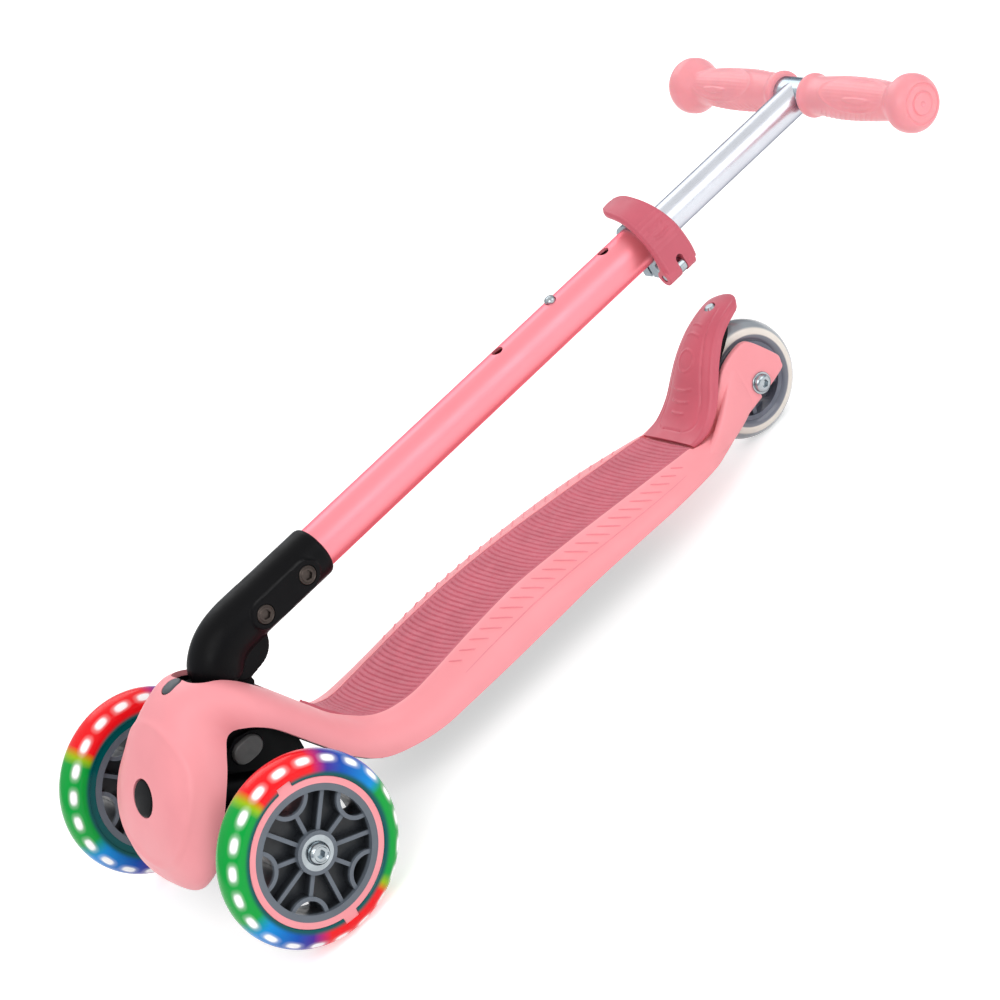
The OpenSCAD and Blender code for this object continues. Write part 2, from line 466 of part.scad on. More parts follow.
// ---------- folding elbow and column ----------
// frame of the column: its z runs back along the column, its x points up
module at_column(s) translate([0, 0, column]) rotate([0, -90 + fold_rise, 0]) translate([0, 0, s]) children();
sleeve_r = lower_d / 2 + 2.8;
sleeve_a = 64;
sleeve_b = 142.5;
pin_d = 8;
leg_y = 10.4;
side_y = sleeve_r - 0.6;
module elbow() color([0.07, 0.07, 0.08]) difference() {
    union() {
        at_column(sleeve_a) cylinder(r = sleeve_r, h = sleeve_b - sleeve_a - 6);
        at_column(sleeve_b - 6) cylinder(r1 = sleeve_r, r2 = sleeve_r - 1.8, h = 6);
        // leg that stands in the nose
        hull() {
            for (c = [[-62, column + 0.6, sleeve_r - 0.6, 22], [-64, column + 1.5, 10, 2 * side_y], [-38.5, fold_z + 7, 9.5, 2 * side_y - 4], [fold_x, fold_z, knuckle_r + 0.5, 2 * leg_y]])
                translate([c[0], c[3] / 2, c[1]]) rotate([90, 0, 0]) cylinder(r = c[2], h = c[3], $fn = 40);
        }
        // web behind the leg
        hull() {
            translate([fold_x, 8, fold_z]) rotate([90, 0, 0]) cylinder(r = knuckle_r, h = 16, $fn = 32);
            translate([-83, 8, fold_z + 8]) rotate([90, 0, 0]) cylinder(r = 4, h = 16, $fn = 32);
        }
        // raised pads round the bolts
        hull() for (b = bolt_s) at_column(b) rotate([90, 0, 0]) translate([0.6, 0, -pad_y]) cylinder(r = 9.6, h = 2 * pad_y, $fn = 40);
    }
    at_column(tube_in) cylinder(d = lower_d + 0.04, h = 200, $fn = 96);
    for (b = bolt_s) at_column(b) rotate([90, 0, 0]) translate([0, 0, -40]) cylinder(d = 6.04, h = 80);
    for (b = bolt_s, s = [-1, 1]) at_column(b) rotate([s * 90, 0, 0]) translate([0, 0, pad_y - 1.6]) cylinder(d = 12.8, h = 20);
    // slot that takes the tongue
    translate([fold_x, tongue_w / 2 + air, fold_z]) rotate([90, 0, 0]) cylinder(r = knuckle_r + air, h = tongue_w + 2 * air);
    translate([fold_x, tongue_w / 2 + air, fold_z]) rotate([90, 0, 0]) linear_extrude(tongue_w + 2 * air)
        polygon([[0, 0], for (a = [-100, -75, -50, -25, 0, 20]) [60 * cos(a), 60 * sin(a)]]);
    translate([fold_x, leg_y - 1.5, fold_z]) rotate([90, 0, 0]) cylinder(d = pin_d + 2 * fit, h = 80);
}
tube_in = 80;
pad_y = sleeve_r + 0.2;
bolt_s = [86, 122.3];
module fold_pin() color([0.7, 0.7, 0.72]) translate([fold_x, leg_y - 1.6, fold_z]) rotate([90, 0, 0]) cylinder(d = pin_d, h = 2 * leg_y - 2.2);
module elbow_bolts() color([0.3, 0.27, 0.25]) for (b = bolt_s) at_column(b) rotate([-90, 0, 0]) difference() {
    union() {
        translate([0, 0, -pad_y - 0.6]) cylinder(d = 6, h = 2 * pad_y - 1);
        translate([0, 0, pad_y - 1.6]) cylinder(d = 12, h = 1.9);
    }
    translate([0, 0, pad_y - 1]) cylinder(d = 4.6, h = 4, $fn = 6);
}
module elbow_nuts() color([0.3, 0.27, 0.25]) for (b = bolt_s) at_column(b) rotate([90, 0, 0]) translate([0, 0, pad_y - 1.6]) difference() {
    cylinder(d = 11.5, h = 2.8, $fn = 6);
    translate([0, 0, -1]) cylinder(d = 6.02, h = 8);
}
bare_tube = 148.7;             // from the end of the lower tube to the handlebar
tube_end = bar_reach - bare_tube;
hole_s = tube_end - 85;        // middle height hole
button_d = 7.6;
module lower_tube() color([0.98, 0.45, 0.55]) difference() {
    at_column(tube_in) cylinder(d = lower_d, h = tube_end - tube_in, $fn = 96);
    at_column(tube_in - 1) cylinder(d = lower_d - 3.6, h = tube_end, $fn = 96);
    for (i = [-1 : 1]) at_column(hole_s + i * hole_pitch) rotate([0, 90, 0]) cylinder(d = button_d + 2 * fit + 0.3, h = 40);
    for (b = bolt_s) at_column(b) rotate([90, 0, 0]) translate([0, 0, -40]) cylinder(d = 6.04, h = 80);
    // slit under the clamp
    at_column(tube_end - 28) translate([-30, -1, 0]) cube([30, 2, 40]);
}
module tube_bush() color([0.85, 0.85, 0.85]) at_column(tube_end - 22) difference() {
    cylinder(d = lower_d - 3.6, h = 22, $fn = 96);
    translate([0, 0, -1]) cylinder(d = upper_d + 2 * fit, h = 30, $fn = 96);
    translate([-30, -1, -1]) cube([30, 2, 40]);
}
// the height clamp
clamp_s = tube_end - 6.5;
collar_t = 2.6;
collar_w = 17;
ear_y = 26;
ear_x = -17;
skew_d = 5;
skew_x = -lower_d / 2 - collar_t - skew_d / 2 - 0.4;
module clamp_collar() color([0.8, 0.81, 0.83]) at_column(clamp_s - collar_w / 2 + 2) difference() {
    union() {
        cylinder(d = lower_d + 2 * collar_t, h = collar_w, $fn = 96);
        translate([skew_x - 4.6, -9, 0]) cube([-skew_x + 4.6 - 6, 18, collar_w]);
    }
    translate([0, 0, -1]) cylinder(d = lower_d, h = 40, $fn = 96);
    translate([-40, -1.2, -1]) cube([36, 2.4, 40]);
    translate([skew_x, 40, collar_w / 2 - 2]) rotate([90, 0, 0]) cylinder(d = skew_d + 0.1, h = 80);
}
cam_d = 6;
module clamp_bolt() color([0.74, 0.74, 0.77]) at_column(clamp_s) difference() {
    union() {
        translate([skew_x, ear_y - 2, 0]) rotate([90, 0, 0]) cylinder(d = skew_d, h = ear_y + 16);
        translate([ear_x, ear_y, -2.4]) cylinder(d = 10, h = 4.8);
    }
    translate([ear_x, ear_y, -10]) cylinder(d = cam_d + 2 * fit, h = 20);
}
module clamp_nut() color([0.74, 0.74, 0.77]) at_column(clamp_s) translate([skew_x, -9, 0]) rotate([90, 0, 0]) difference() {
    cylinder(d = 11, h = 7, $fn = 32);
    translate([0, 0, -1]) cylinder(d = skew_d + 0.02, h = 10);
}
module cam_pin() color([0.7, 0.7, 0.73]) at_column(clamp_s - lever_w / 2 + 0.6) translate([ear_x, ear_y, 0]) cylinder(d = cam_d, h = lever_w - 4.7);
// up, sideways and width of the lever's middle line, from the pivot to its tip
lever_plan = [[-17, 26, 1], [-8, 27.5, 1], [2, 27, 0.97], [11, 23.5, 0.92], [19, 16.5, 0.84], [24, 8, 0.75], [26.5, -2, 0.66], [26.8, -10, 0.57], [26, -16.5, 0.4]];
lever_line = smooth(lever_plan, 4);
function lever_ring(s, t, w, h) = [for (i = [0 : 15]) let (a = i * 22.5, c = cos(a), d = sin(a),
    u = sign(c) * pw(abs(c), 0.55) * h, v = sign(d) * pw(abs(d), 0.7) * w) [s[0] - t[1] * u, s[1] + t[0] * u, v]];
module clamp_lever() color([0.84, 0.45, 0.5]) at_column(clamp_s) difference() {
    union() {
        loft([for (k = [0 : len(lever_line) - 1]) lever_ring(lever_line[k], tangent(lever_line, k), lever_line[k][2] * lever_w / 2, lever_t / 2)]);
        translate([ear_x, ear_y, -lever_w / 2]) cylinder(r = 5.6, h = lever_w - 3.5);
    }
    translate([ear_x, ear_y, -30]) cylinder(d = cam_d, h = 60);
    // gap between the two ears, for the eye of the clamp bolt
    translate([ear_x - 12, ear_y - 12, -2.9]) cube([18.5, 24, 5.8]);
}

// ---------- handlebar ----------
upper_in = hole_s - 20;
module upper_tube() color([0.82, 0.83, 0.85]) difference() {
    at_column(upper_in) cylinder(d = upper_d, h = bar_reach - upper_in, $fn = 96);
    at_column(upper_in - 1) cylinder(d = upper_d - 3, h = bar_reach, $fn = 96);
    at_column(bar_reach) rotate([90, 0, 0]) translate([0, 0, -30]) cylinder(d = cross_d, h = 60, $fn = 96);
    at_column(hole_s) rotate([0, 90, 0]) cylinder(d = button_d + 2 * fit, h = 40);
}
module cross_tube() color([0.82, 0.83, 0.85]) at_column(bar_reach) rotate([90, 0, 0]) difference() {
    translate([0, 0, -bar_w / 2 + 4.2]) cylinder(d = cross_d, h = bar_w - 8.4, $fn = 96);
    translate([0, 0, -bar_w / 2]) cylinder(d = cross_d - 3, h = bar_w, $fn = 96);
}
ball_r = ball_d / 2;
palm_r = palm_d / 2;
grip_in = 13.5;
grip_len = bar_w / 2 - grip_in;
// radius along a grip, from its inner flange to the face of its ball
grip_plan = [[0, 12.4], [0.6, 14], [2.6, 14.7], [5, 14.3], [8, 13.1], [12, 12.9], [20, 13.3], [34, palm_r], [48, palm_r],
             [60, palm_r - 0.4], [72, palm_r - 1.2], [82, palm_r - 1.8], [86, palm_r - 1.5], [89.5, palm_r + 0.6], [93, ball_r - 2.2], [96.5, ball_r - 0.4],
             [99.5, ball_r], [103, ball_r - 0.5], [106.5, ball_r - 2.4], [109, ball_r - 4.8], [110.6, ball_r - 7]];
grip_line = smooth(grip_plan, 2);
module grip() rotate_extrude($fn = 72) polygon(concat([[cross_d / 2 + 0.02, 0]], [for (p = grip_line) [p[1], p[0] * grip_len / 111.5]],
    [[10, grip_len], [0, grip_len], [0, grip_len - 4.1], [cross_d / 2 + 0.02, grip_len - 4.1]]));
module grip_left() color([0.97, 0.62, 0.66]) at_column(bar_reach) rotate([-90, 0, 0]) translate([0, 0, grip_in]) grip();
module grip_right() color([0.97, 0.62, 0.66]) at_column(bar_reach) rotate([90, 0, 0]) translate([0, 0, grip_in]) grip();
// sprung button that drops into the height holes
module snap_button() color([0.85, 0.85, 0.87]) at_column(hole_s) rotate([0, 90, 0]) rotate_extrude() polygon(concat(
    [[0, snap_in - 3.2], [button_d / 2 + 1.2, snap_in - 3.2], [button_d / 2 + 1.2, snap_in - 1.6], [button_d / 2, snap_in - 1.6]],
    [for (i = [0 : 6]) let (a = 15 * i) [button_d / 2 * cos(a), lower_d / 2 + 0.6 + button_d * 0.36 * sin(a)]]));
snap_in = upper_d / 2 - 1.5;

// ---------- buttons in the nose ----------
lock_d = 9;
module at_lock() translate([-17.5, 0, 151.2 + lift_f]) rotate([0, 6, 0]) children();
module lock_button() color([0.2, 0.22, 0.24]) at_lock() {
    translate([0, 0, -4]) cylinder(d = lock_d, h = 5);
    translate([0, 0, -16]) cylinder(d = lock_d - 3, h = 13);
}
push_w = 21;
push_h = 14;
module at_push(s) translate([-25, s * cheek_y, 100 + lift_f]) rotate([s > 0 ? -90 : 90, 0, 0]) children();
module push_body(z0, z1, more) translate([0, 0, z0]) {
    for (x = [-1, 1]) translate([x * (push_w - push_h) / 2, 0, 0]) cylinder(d = push_h + 2 * more, h = z1 - z0);
    translate([-(push_w - push_h) / 2, -push_h / 2 - more, 0]) cube([push_w - push_h, push_h + 2 * more, z1 - z0]);
}
module push_button() { push_body(-5, 3, 0); translate([0, 0, -13]) cylinder(d = 5, h = 9); }
module push_button_left() color([0.3, 0.31, 0.33]) at_push(1) push_button();
module push_button_right() color([0.3, 0.31, 0.33]) at_push(-1) push_button();

// ---------- the wheels in their places ----------
grey = [0.5, 0.52, 0.56];
pink = [0.97, 0.62, 0.66];
clear = [0.2, 0.75, 0.4];
module hub_left() color(grey) at_wheel(1) wheel_hub();
module hub_right() color(grey) at_wheel(-1) wheel_hub();
module ring_left() color(pink) at_wheel(1) wheel_ring();
module ring_right() color(pink) at_wheel(-1) wheel_ring();
module tyre_left() color(clear) at_wheel(1) wheel_tyre();
module tyre_right() color(clear) at_wheel(-1) wheel_tyre();
module lights_left() color([1, 1, 1]) at_wheel(1) wheel_light();
module lights_right() color([1, 1, 1]) at_wheel(-1) wheel_light();
module bearings_left() color([0.75, 0.76, 0.78]) at_wheel(1) bearings(bear_out);
module bearings_right() color([0.75, 0.76, 0.78]) at_wheel(-1) bearings(bear_out);
module sleeve_left() color([0.7, 0.7, 0.72]) at_wheel(1) bear_sleeve(bear_out);
module sleeve_right() color([0.7, 0.7, 0.72]) at_wheel(-1) bear_sleeve(bear_out);
module rear_bearings() color([0.75, 0.76, 0.78]) at_rear() bearings(rear_w / 2 - 0.5);
module rear_sleeve() color([0.7, 0.7, 0.72]) at_rear() bear_sleeve(rear_w / 2 - 0.5);

// Node to draw
translate([mid_x, 0, 0]) {
deck_shell();
deck_mat();
deck_frame();
deck_screws();
nose_liner();
nose_core();
king_bolt();
king_nut();
nose_cap();
fold_pin();
rear_axle_bolt();
rear_axle_nut();
rear_washers();
rear_spacers();
brake_pin();
truck();
steer_bushes();
front_bolts();
front_spacers();
hub_left();
ring_left();
tyre_left();
lights_left();
bearings_left();
sleeve_left();
hub_right();
ring_right();
tyre_right();
lights_right();
bearings_right();
sleeve_right();
rear_hub();
rear_tyre();
rear_bearings();
rear_sleeve();
elbow();
elbow_bolts();
elbow_nuts();
lower_tube();
tube_bush();
clamp_collar();
clamp_bolt();
clamp_nut();
clamp_lever();
cam_pin();
upper_tube();
cross_tube();
grip_left();
grip_right();
snap_button();
push_button_left();
push_button_right();
lock_button();
brake_pedal();
brake_rivet();
brake_liner();
brake_pad();
}
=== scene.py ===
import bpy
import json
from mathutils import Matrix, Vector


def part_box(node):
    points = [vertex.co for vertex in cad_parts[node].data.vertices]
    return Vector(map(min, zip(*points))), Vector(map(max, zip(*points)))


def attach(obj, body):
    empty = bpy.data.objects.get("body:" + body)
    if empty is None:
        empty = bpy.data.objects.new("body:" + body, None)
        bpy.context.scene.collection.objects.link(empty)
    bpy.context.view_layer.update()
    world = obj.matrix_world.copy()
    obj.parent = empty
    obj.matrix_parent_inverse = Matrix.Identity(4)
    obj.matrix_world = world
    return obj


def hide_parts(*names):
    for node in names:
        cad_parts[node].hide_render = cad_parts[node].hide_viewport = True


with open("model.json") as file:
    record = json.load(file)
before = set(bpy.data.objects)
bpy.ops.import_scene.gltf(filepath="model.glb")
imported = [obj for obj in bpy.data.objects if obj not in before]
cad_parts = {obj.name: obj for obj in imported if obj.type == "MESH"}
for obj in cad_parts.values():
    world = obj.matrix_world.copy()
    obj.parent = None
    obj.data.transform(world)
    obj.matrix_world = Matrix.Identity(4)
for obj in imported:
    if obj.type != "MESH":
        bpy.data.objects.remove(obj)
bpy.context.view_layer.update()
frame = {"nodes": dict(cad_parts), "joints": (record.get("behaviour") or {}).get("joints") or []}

import json
import math

import bmesh
import bpy
import numpy as np
from bpy.props import FloatProperty, FloatVectorProperty, IntProperty, PointerProperty
from mathutils import Euler, Vector

bl_info = {
    "name": "Folding kick scooter",
    "version": (1, 0, 0),
    "blender": (4, 5, 0),
    "location": "3D View > Sidebar > Scooter",
    "description": "Dresses the packed solids of a small folding kick scooter",
    "category": "Object",
}

# ---------- places, in millimetres from the point of the floor under the front axle ----------
JOINTS = {joint["name"]: joint for joint in frame["joints"]}
MM = 0.001
WHEEL = np.array(JOINTS["roll_left"]["pos_m"]) / MM
REAR = np.array(JOINTS["roll_rear"]["pos_m"]) / MM
HINGE = np.array(JOINTS["fold"]["pos_m"]) / MM
PEDAL_PIN = np.array(JOINTS["brake_press"]["pos_m"]) / MM
ORIGIN = np.array([WHEEL[0], 0.0, 0.0])
FRONT_R = WHEEL[2]
HALF_TRACK = WHEEL[1]
REAR_X = REAR[0] - ORIGIN[0]
REAR_R = REAR[2]
FOLD_X, FOLD_Z = HINGE[0] - ORIGIN[0], HINGE[2]
# the steering axis crosses over the front axle
STEER_AXIS = np.array(JOINTS["steer"]["axis"], float)
STEER_Z = JOINTS["steer"]["pos_m"][2] / MM
# the column lies back over the deck; up is square to it
COLUMN_AXIS = np.array(JOINTS["height"]["axis"], float)
COLUMN_UP = np.array([COLUMN_AXIS[2], 0.0, -COLUMN_AXIS[0]])
COLUMN_Z = 150.4
SIDE = np.array([0.0, 1.0, 0.0])
HANDS = ((1, "left"), (-1, "right"))
# along the column: the handlebar and the middle of the clamp lever; the lower tube and the elbow's sleeve round it
BAR_REACH = 600.7
CLAMP_S = 445.5
TUBE_R = 14.3
SLEEVE_R = TUBE_R + 2.8

# x and z of the top line, half width, x and z of the lower edge, half width of the flat part, roundness
DECK = [
    [-425, 37.5, 25.6, -424, 25.5, 17, 2.2], [-407, 39, 34.4, -405.7, 26, 22, 2.2],
    [-388, 41.2, 44.4, -386.5, 28.3, 27, 2.3], [-350, 45.6, 53.8, -348.5, 32.2, 28.5, 2.4],
    [-310, 50, 57, -308.5, 34.6, 29.5, 2.4], [-270, 54, 57, -268.5, 35.1, 30.5, 2.4],
    [-230, 56.5, 57, -229.6, 34, 31, 2.4], [-190, 55.5, 57, -191.2, 33, 33, 2.4],
    [-150, 52.5, 57, -151.4, 32.6, 34.5, 2.4], [-130, 51.5, 57, -130, 33, 34, 2.4],
    [-112, 53, 55, -108.8, 36, 30, 2.4], [-99, 58.5, 51.5, -88.5, 42.5, 24, 2.5],
    [-88.5, 69, 49.5, -73, 57, 15, 2.6], [-79, 84, 47.5, -62, 73.6, 8, 2.8],
    [-69, 101, 46, -52, 89.6, 4, 3], [-57, 120.5, 45, -42.5, 104.4, 2, 3],
    [-45, 136, 43, -34.5, 112.5, 1, 3], [-33, 146, 39, -28.5, 116, 1, 2.9],
    [-19, 151, 34, -22.8, 117.3, 1, 2.8], [-4, 147.5, 33.5, -17.2, 116.2, 1, 2.8],
    [10, 138.5, 39, -10.5, 112.6, 1, 2.8], [23, 125.5, 46.5, -0.8, 105.2, 1, 2.9],
    [34, 110.5, 52.6, 11.2, 95.6, 1, 3.2], [43.5, 94, 54, 22.7, 83.5, 1, 3.4],
    [50.5, 77, 51.2, 32, 71.2, 1, 3.3], [53.5, 61, 45.2, 37.4, 60.6, 1, 3.0],
    [51.5, 48.5, 35.5, 41, 52.6, 1, 2.7], [46, 40.5, 17, 42.2, 43.7, 0.5, 2.5],
]
# rows of the deck's table that the mat and the dashes run between, and the one where the nose's closer rows start
MAT_FROM, MAT_TO = 2.0, 12.85
DASH_FROM, DASH_TO = 2.4, 7.9
NOSE_ROW = 16
# along x from the rear axle and z of the crest, half width, crown
PEDAL = [
    [70, 44.6, 26.5, 1.2], [63, 47.3, 27.5, 3.8], [55.5, 51.5, 27, 6.4], [46, 59.8, 25.5, 8],
    [36, 71.5, 23.2, 8.5], [26, 81, 21, 8.2], [14, 89.5, 18.3, 7.6], [2, 94.2, 16.5, 6.6],
    [-8, 96, 15.5, 5.5], [-14, 95.8, 14.6, 4.4], [-18, 95.1, 12.7, 3.2], [-20.8, 94.2, 10, 2.0],
    [-22.6, 93.4, 6.6, 1.0], [-23.5, 92.8, 2.6, 0.3],
]
# side outline of a rear fork arm, along x towards the deck from the rear axle and z
ARM = [
    [-21.5, 41], [-19, 36.5], [0, 31.5], [18, 28], [40, 24], [60, 22], [74, 30], [70, 38.5], [56, 40.8], [42, 47.6],
    [30, 57.8], [20, 65.6], [10, 69.5], [1, 71], [-5, 70], [-9.5, 65.5], [-15, 57.5], [-20, 49.5], [-22, 45.5],
]
# cheeks that carry the deck's sides over into the arms: x, middle and half width across, middle and half height
CHEEK = [
    [-390, 36.6, 3.6, 34.4, 3.0], [-399, 34.2, 4.0, 33.4, 5.2], [-408, 31.0, 4.1, 33.8, 7.4],
    [-417, 27.6, 4.0, 35.4, 9.6], [-427, 24.4, 3.6, 38.2, 12.2], [-438, 21.7, 3.2, 42.8, 15.0],
    [-447, 19.9, 2.6, 47.5, 16.6],
]
# the elbow's leg: x, z, direction of the long half axis in degrees, half depth, half width
BEND = [
    [-90, 153.3, 90, 17.1, 17.1], [-80, 153.1, 90, 17.1, 17.1], [-70, 152.4, 84, 17.2, 17.1],
    [-60.6, 150.5, 70, 17.1, 17.2], [-52.6, 146.2, 50, 17.4, 17.3], [-46.8, 139.4, 28, 17.8, 17.3],
    [-46.2, 133.5, 8, 15.5, 16.4], [-47.5, 129.5, 0, 11.5, 13],
]
# the clamp lever, pivot to tip: up from the column's middle line, out to the left, share of the full width
LEVER = [
    [-17, 26, 1], [-8, 27.5, 1], [2, 27, 0.97], [11, 23.5, 0.92], [19, 16.5, 0.84],
    [24, 8, 0.77], [26.6, -2, 0.72], [27.2, -10, 0.69], [26.6, -17, 0.67],
]
# the lever's pivot, up from the column's middle line and out to the left
PIVOT = (-17, 26)
# distance out along a grip from its inner end, and its radius; then its end face as radius and distance
GRIP = [
    [0, 12.4], [0.6, 14], [2.6, 14.7], [5, 14.3], [8, 13.1], [12, 12.9], [20, 13.3], [34, 14.2], [48, 14.2],
    [60, 13.8], [72, 13], [82, 12.4], [86, 12.7], [89.5, 14.8], [93, 16.8], [96.5, 18.6],
    [99.5, 19], [103, 18.9], [106, 17.9], [108.3, 16.3], [109.7, 14.9], [110.4, 13.9],
]
GRIP_FACE = [
    [13.6, 110.4], [13.2, 109.9], [12.4, 109.9], [12.0, 110.5], [11.4, 110.8], [8.6, 111.1], [8.1, 110.5], [7.2, 110.4],
    [6.8, 111.1], [2.0, 111.4], [1.4, 110.7], [0.6, 110.6], [0, 110.6],
]
GRIP_START = 13.5
# the nose opening: half widths of the slot behind the mouth, of the mouth and of its front end, and corner radii
SLOT_HALF, MOUTH_HALF, FRONT_HALF = 11.3, 18.3, 8.3
REAR_CORNER, FRONT_CORNER = 7.0, 10.0
# the fork arms' inner and outer faces
ARM_IN, ARM_OUT = 16.5, 22.0
# the lock button's long outline: its two end centres along x and their radius
LOCK_FROM, LOCK_TO, LOCK_R = -18.7, -15.2, 5.0
# the oval line on the nose: its middle, the way its long half axis runs, and its two half axes
SHIELD_CENTRE = np.array([30.5, 0, 103.0])
SHIELD_WAY = np.array([0.522, 0, -0.853])
SHIELD_LONG, SHIELD_HALF = 43.4, 44.0
# share of a half section of the deck that its flat part takes up
FLAT_SHARE = 0.3


# ---------- shapes: each is a pair, an array of points in millimetres and a list of faces ----------
def span(a, b, c, d, t):
    """Half of 2b + (c-a)t + (2a-5b+4c-d)t^2 + (3b-a-3c+d)t^3: the Catmull-Rom curve from b to c."""
    return 0.5 * (2 * b + (c - a) * t + (2 * a - 5 * b + 4 * c - d) * t**2 + (3 * b - a - 3 * c + d) * t**3)


def spline(rows, per):
    """A smooth curve through the rows, with so many steps to each span."""
    p = np.asarray(rows, float)
    q = np.vstack([p[:1], p, p[-1:]])
    t = (np.arange(per) / per)[None, :, None]
    s = span(*(q[i : len(q) - 3 + i][:, None] for i in range(4)), t)
    return np.vstack([s.reshape(-1, p.shape[1]), p[-1:]])


def ring_spline(rows, per):
    """The same curve through a closed ring of rows."""
    p = np.asarray(rows, float)
    t = (np.arange(per) / per)[None, :, None]
    return span(*(np.roll(p, 1 - i, 0)[:, None] for i in range(4)), t).reshape(-1, p.shape[1])


def even(rows, gap):
    """The same curve with its rows a gap apart along its first two columns, and each row's distance."""
    length = np.r_[0, np.cumsum(np.linalg.norm(np.diff(rows[:, :2], axis=0), axis=1))]
    at = np.linspace(0, length[-1], max(2, int(round(length[-1] / gap)) + 1))
    return np.stack([np.interp(at, length, rows[:, k]) for k in range(rows.shape[1])], 1), at


def heading(rows):
    """The unit direction of a curve, in its first two columns."""
    along = np.gradient(rows[:, 0:2], axis=0)
    return along / np.linalg.norm(along, axis=1)[:, None]


def inward_of(rows):
    """That direction turned a quarter, one for each row of a grid."""
    along = heading(rows)
    return np.stack([-along[:, 1], along[:, 0]], 1)[:, None]


def round_angles(steps):
    """Angles once round, without the last, which is the first again."""
    return np.linspace(0, 2 * math.pi, steps, endpoint=False)


def soft(share, power):
    """A share from -1 to 1 raised to a power, with its sign kept."""
    return np.sign(share) * np.abs(share) ** power


def quads(rows, columns, wrap=False, wrap_rows=False):
    """Faces of a grid of points counted row by row: corner (i, j) joins (i+1, j), (i+1, j+1) and (i, j+1)."""
    i, j = np.meshgrid(
        np.arange(rows if wrap_rows else rows - 1), np.arange(columns if wrap else columns - 1), indexing="ij"
    )
    i2, j2 = (i + 1) % rows, (j + 1) % columns
    return np.stack([i * columns + j, i2 * columns + j, i2 * columns + j2, i * columns + j2], -1).reshape(-1, 4)


def skin(rings, caps="flat"):
    """A closed solid through equal closed rings. Caps are flat, strip (for rings that run out and back) or none."""
    rows, columns = rings.shape[:2]
    faces = quads(rows, columns, wrap=True, wrap_rows=caps == "loop").tolist()
    for start in (0, (rows - 1) * columns):
        if caps == "flat":
            faces.append([start + k for k in range(columns)])
        elif caps == "strip":
            half = np.arange(columns // 2 - 1)
            far = columns - 1 - half
            faces += (start + np.stack([half, half + 1, far - 1, far], 1)).tolist()
    return rings.reshape(-1, 3), faces


def lathe(profile, centre, axis, steps=96, closed=False, wobble=None):
    """A profile of (radius, height) turned about an axis: centre + r cos(a) u + r sin(a) v + h axis.
    wobble(height, angle) is added to the radius."""
    profile = np.asarray(profile, float)
    w = np.asarray(axis, float) / np.linalg.norm(axis)
    u = np.cross(w, SIDE if abs(w[1]) < 0.9 else np.array([1.0, 0, 0]))
    u /= np.linalg.norm(u)
    v = np.cross(w, u)
    a = round_angles(steps)[None, :, None]
    r, h = profile[:, :1, None], profile[:, 1:2, None]
    if wobble is not None:
        r = r + np.where(r > 0, wobble(h, a), 0)
    points = np.asarray(centre, float) + r * np.cos(a) * u + r * np.sin(a) * v + h * w
    return points.reshape(-1, 3), quads(len(profile), steps, wrap=True, wrap_rows=closed).tolist()


def rounded_plate(outline, y0, y1, radius, steps=5):
    """A plate between two heights of y whose outline is drawn in by radius(1 - sin) as it nears each face."""
    p = np.asarray(outline, float)
    edge = np.roll(p, -1, 0) - np.roll(p, 1, 0)
    edge /= np.linalg.norm(edge, axis=1)[:, None]
    turn = np.sign(np.sum(p[:, 0] * np.roll(p[:, 1], -1) - np.roll(p[:, 0], -1) * p[:, 1]))
    inward = np.stack([-edge[:, 1], edge[:, 0]], 1) * turn
    a = np.linspace(0, math.pi / 2, steps)
    draw = radius * (1 - np.sin(a))
    rise = radius * (1 - np.cos(a))
    heights = np.r_[y0 + rise, (y1 - rise)[::-1]]
    draws = np.r_[draw, draw[::-1]]
    flat = p[None] + inward[None] * draws[:, None, None]
    rings = np.stack([flat[..., 0], np.broadcast_to(heights[:, None], flat.shape[:2]), flat[..., 1]], -1)
    return skin(rings)


def prism(outline, y0, y1):
    """A side outline of (x, z) pushed straight across from y0 to y1."""
    p = np.asarray(outline, float)
    rings = np.stack([np.stack([p[:, 0], np.full(len(p), y), p[:, 1]], 1) for y in (y0, y1)])
    return skin(rings)


def rod(start, end, radius, steps=48):
    """A plain round bar between two points."""
    start, end = np.asarray(start, float), np.asarray(end, float)
    reach = np.linalg.norm(end - start)
    return lathe([[0, 0], [radius, 0], [radius, reach], [0, reach]], start, end - start, steps)


def box_of(corners):
    """A solid from eight corners: four round one end, then four round the other."""
    return np.array(corners), [[0, 1, 2, 3], [4, 5, 6, 7], [0, 1, 5, 4], [1, 2, 6, 5], [2, 3, 7, 6], [3, 0, 4, 7]]


def patch(grid):
    """A grid of points as a shape that is open at its borders."""
    return grid.reshape(-1, 3), quads(*grid.shape[:2]).tolist()


def stadium(long, short, steps=64):
    """Half-way between an ellipse and a box: x = a |cos|^0.72, y = b |sin|^0.85, with the signs of cos and sin."""
    t = round_angles(steps)
    return np.stack([long / 2 * soft(np.cos(t), 0.72), short / 2 * soft(np.sin(t), 0.85)], 1)


def pushed(points, amounts):
    """A grid of points moved along its own normals, the cross product of its two directions."""
    n = np.cross(np.gradient(points, axis=0), np.gradient(points, axis=1))
    n /= np.maximum(np.linalg.norm(n, axis=-1, keepdims=True), 1e-9)
    return points + n * amounts[..., None]


def column(s, up, y):
    """A point at a distance along the column, above its middle line and to the left."""
    s, up, y = np.broadcast_arrays(np.asarray(s, float), up, y)
    return np.array([0, 0, COLUMN_Z]) + s[..., None] * COLUMN_AXIS + up[..., None] * COLUMN_UP + y[..., None] * SIDE


def steer(s):
    """A point at a distance along the steering axis."""
    return np.array([0, 0, STEER_Z]) + s * STEER_AXIS


def ridge(distance, width):
    """A soft bump, exp(-(distance / width)^2)."""
    return np.exp(-((distance / width) ** 2))


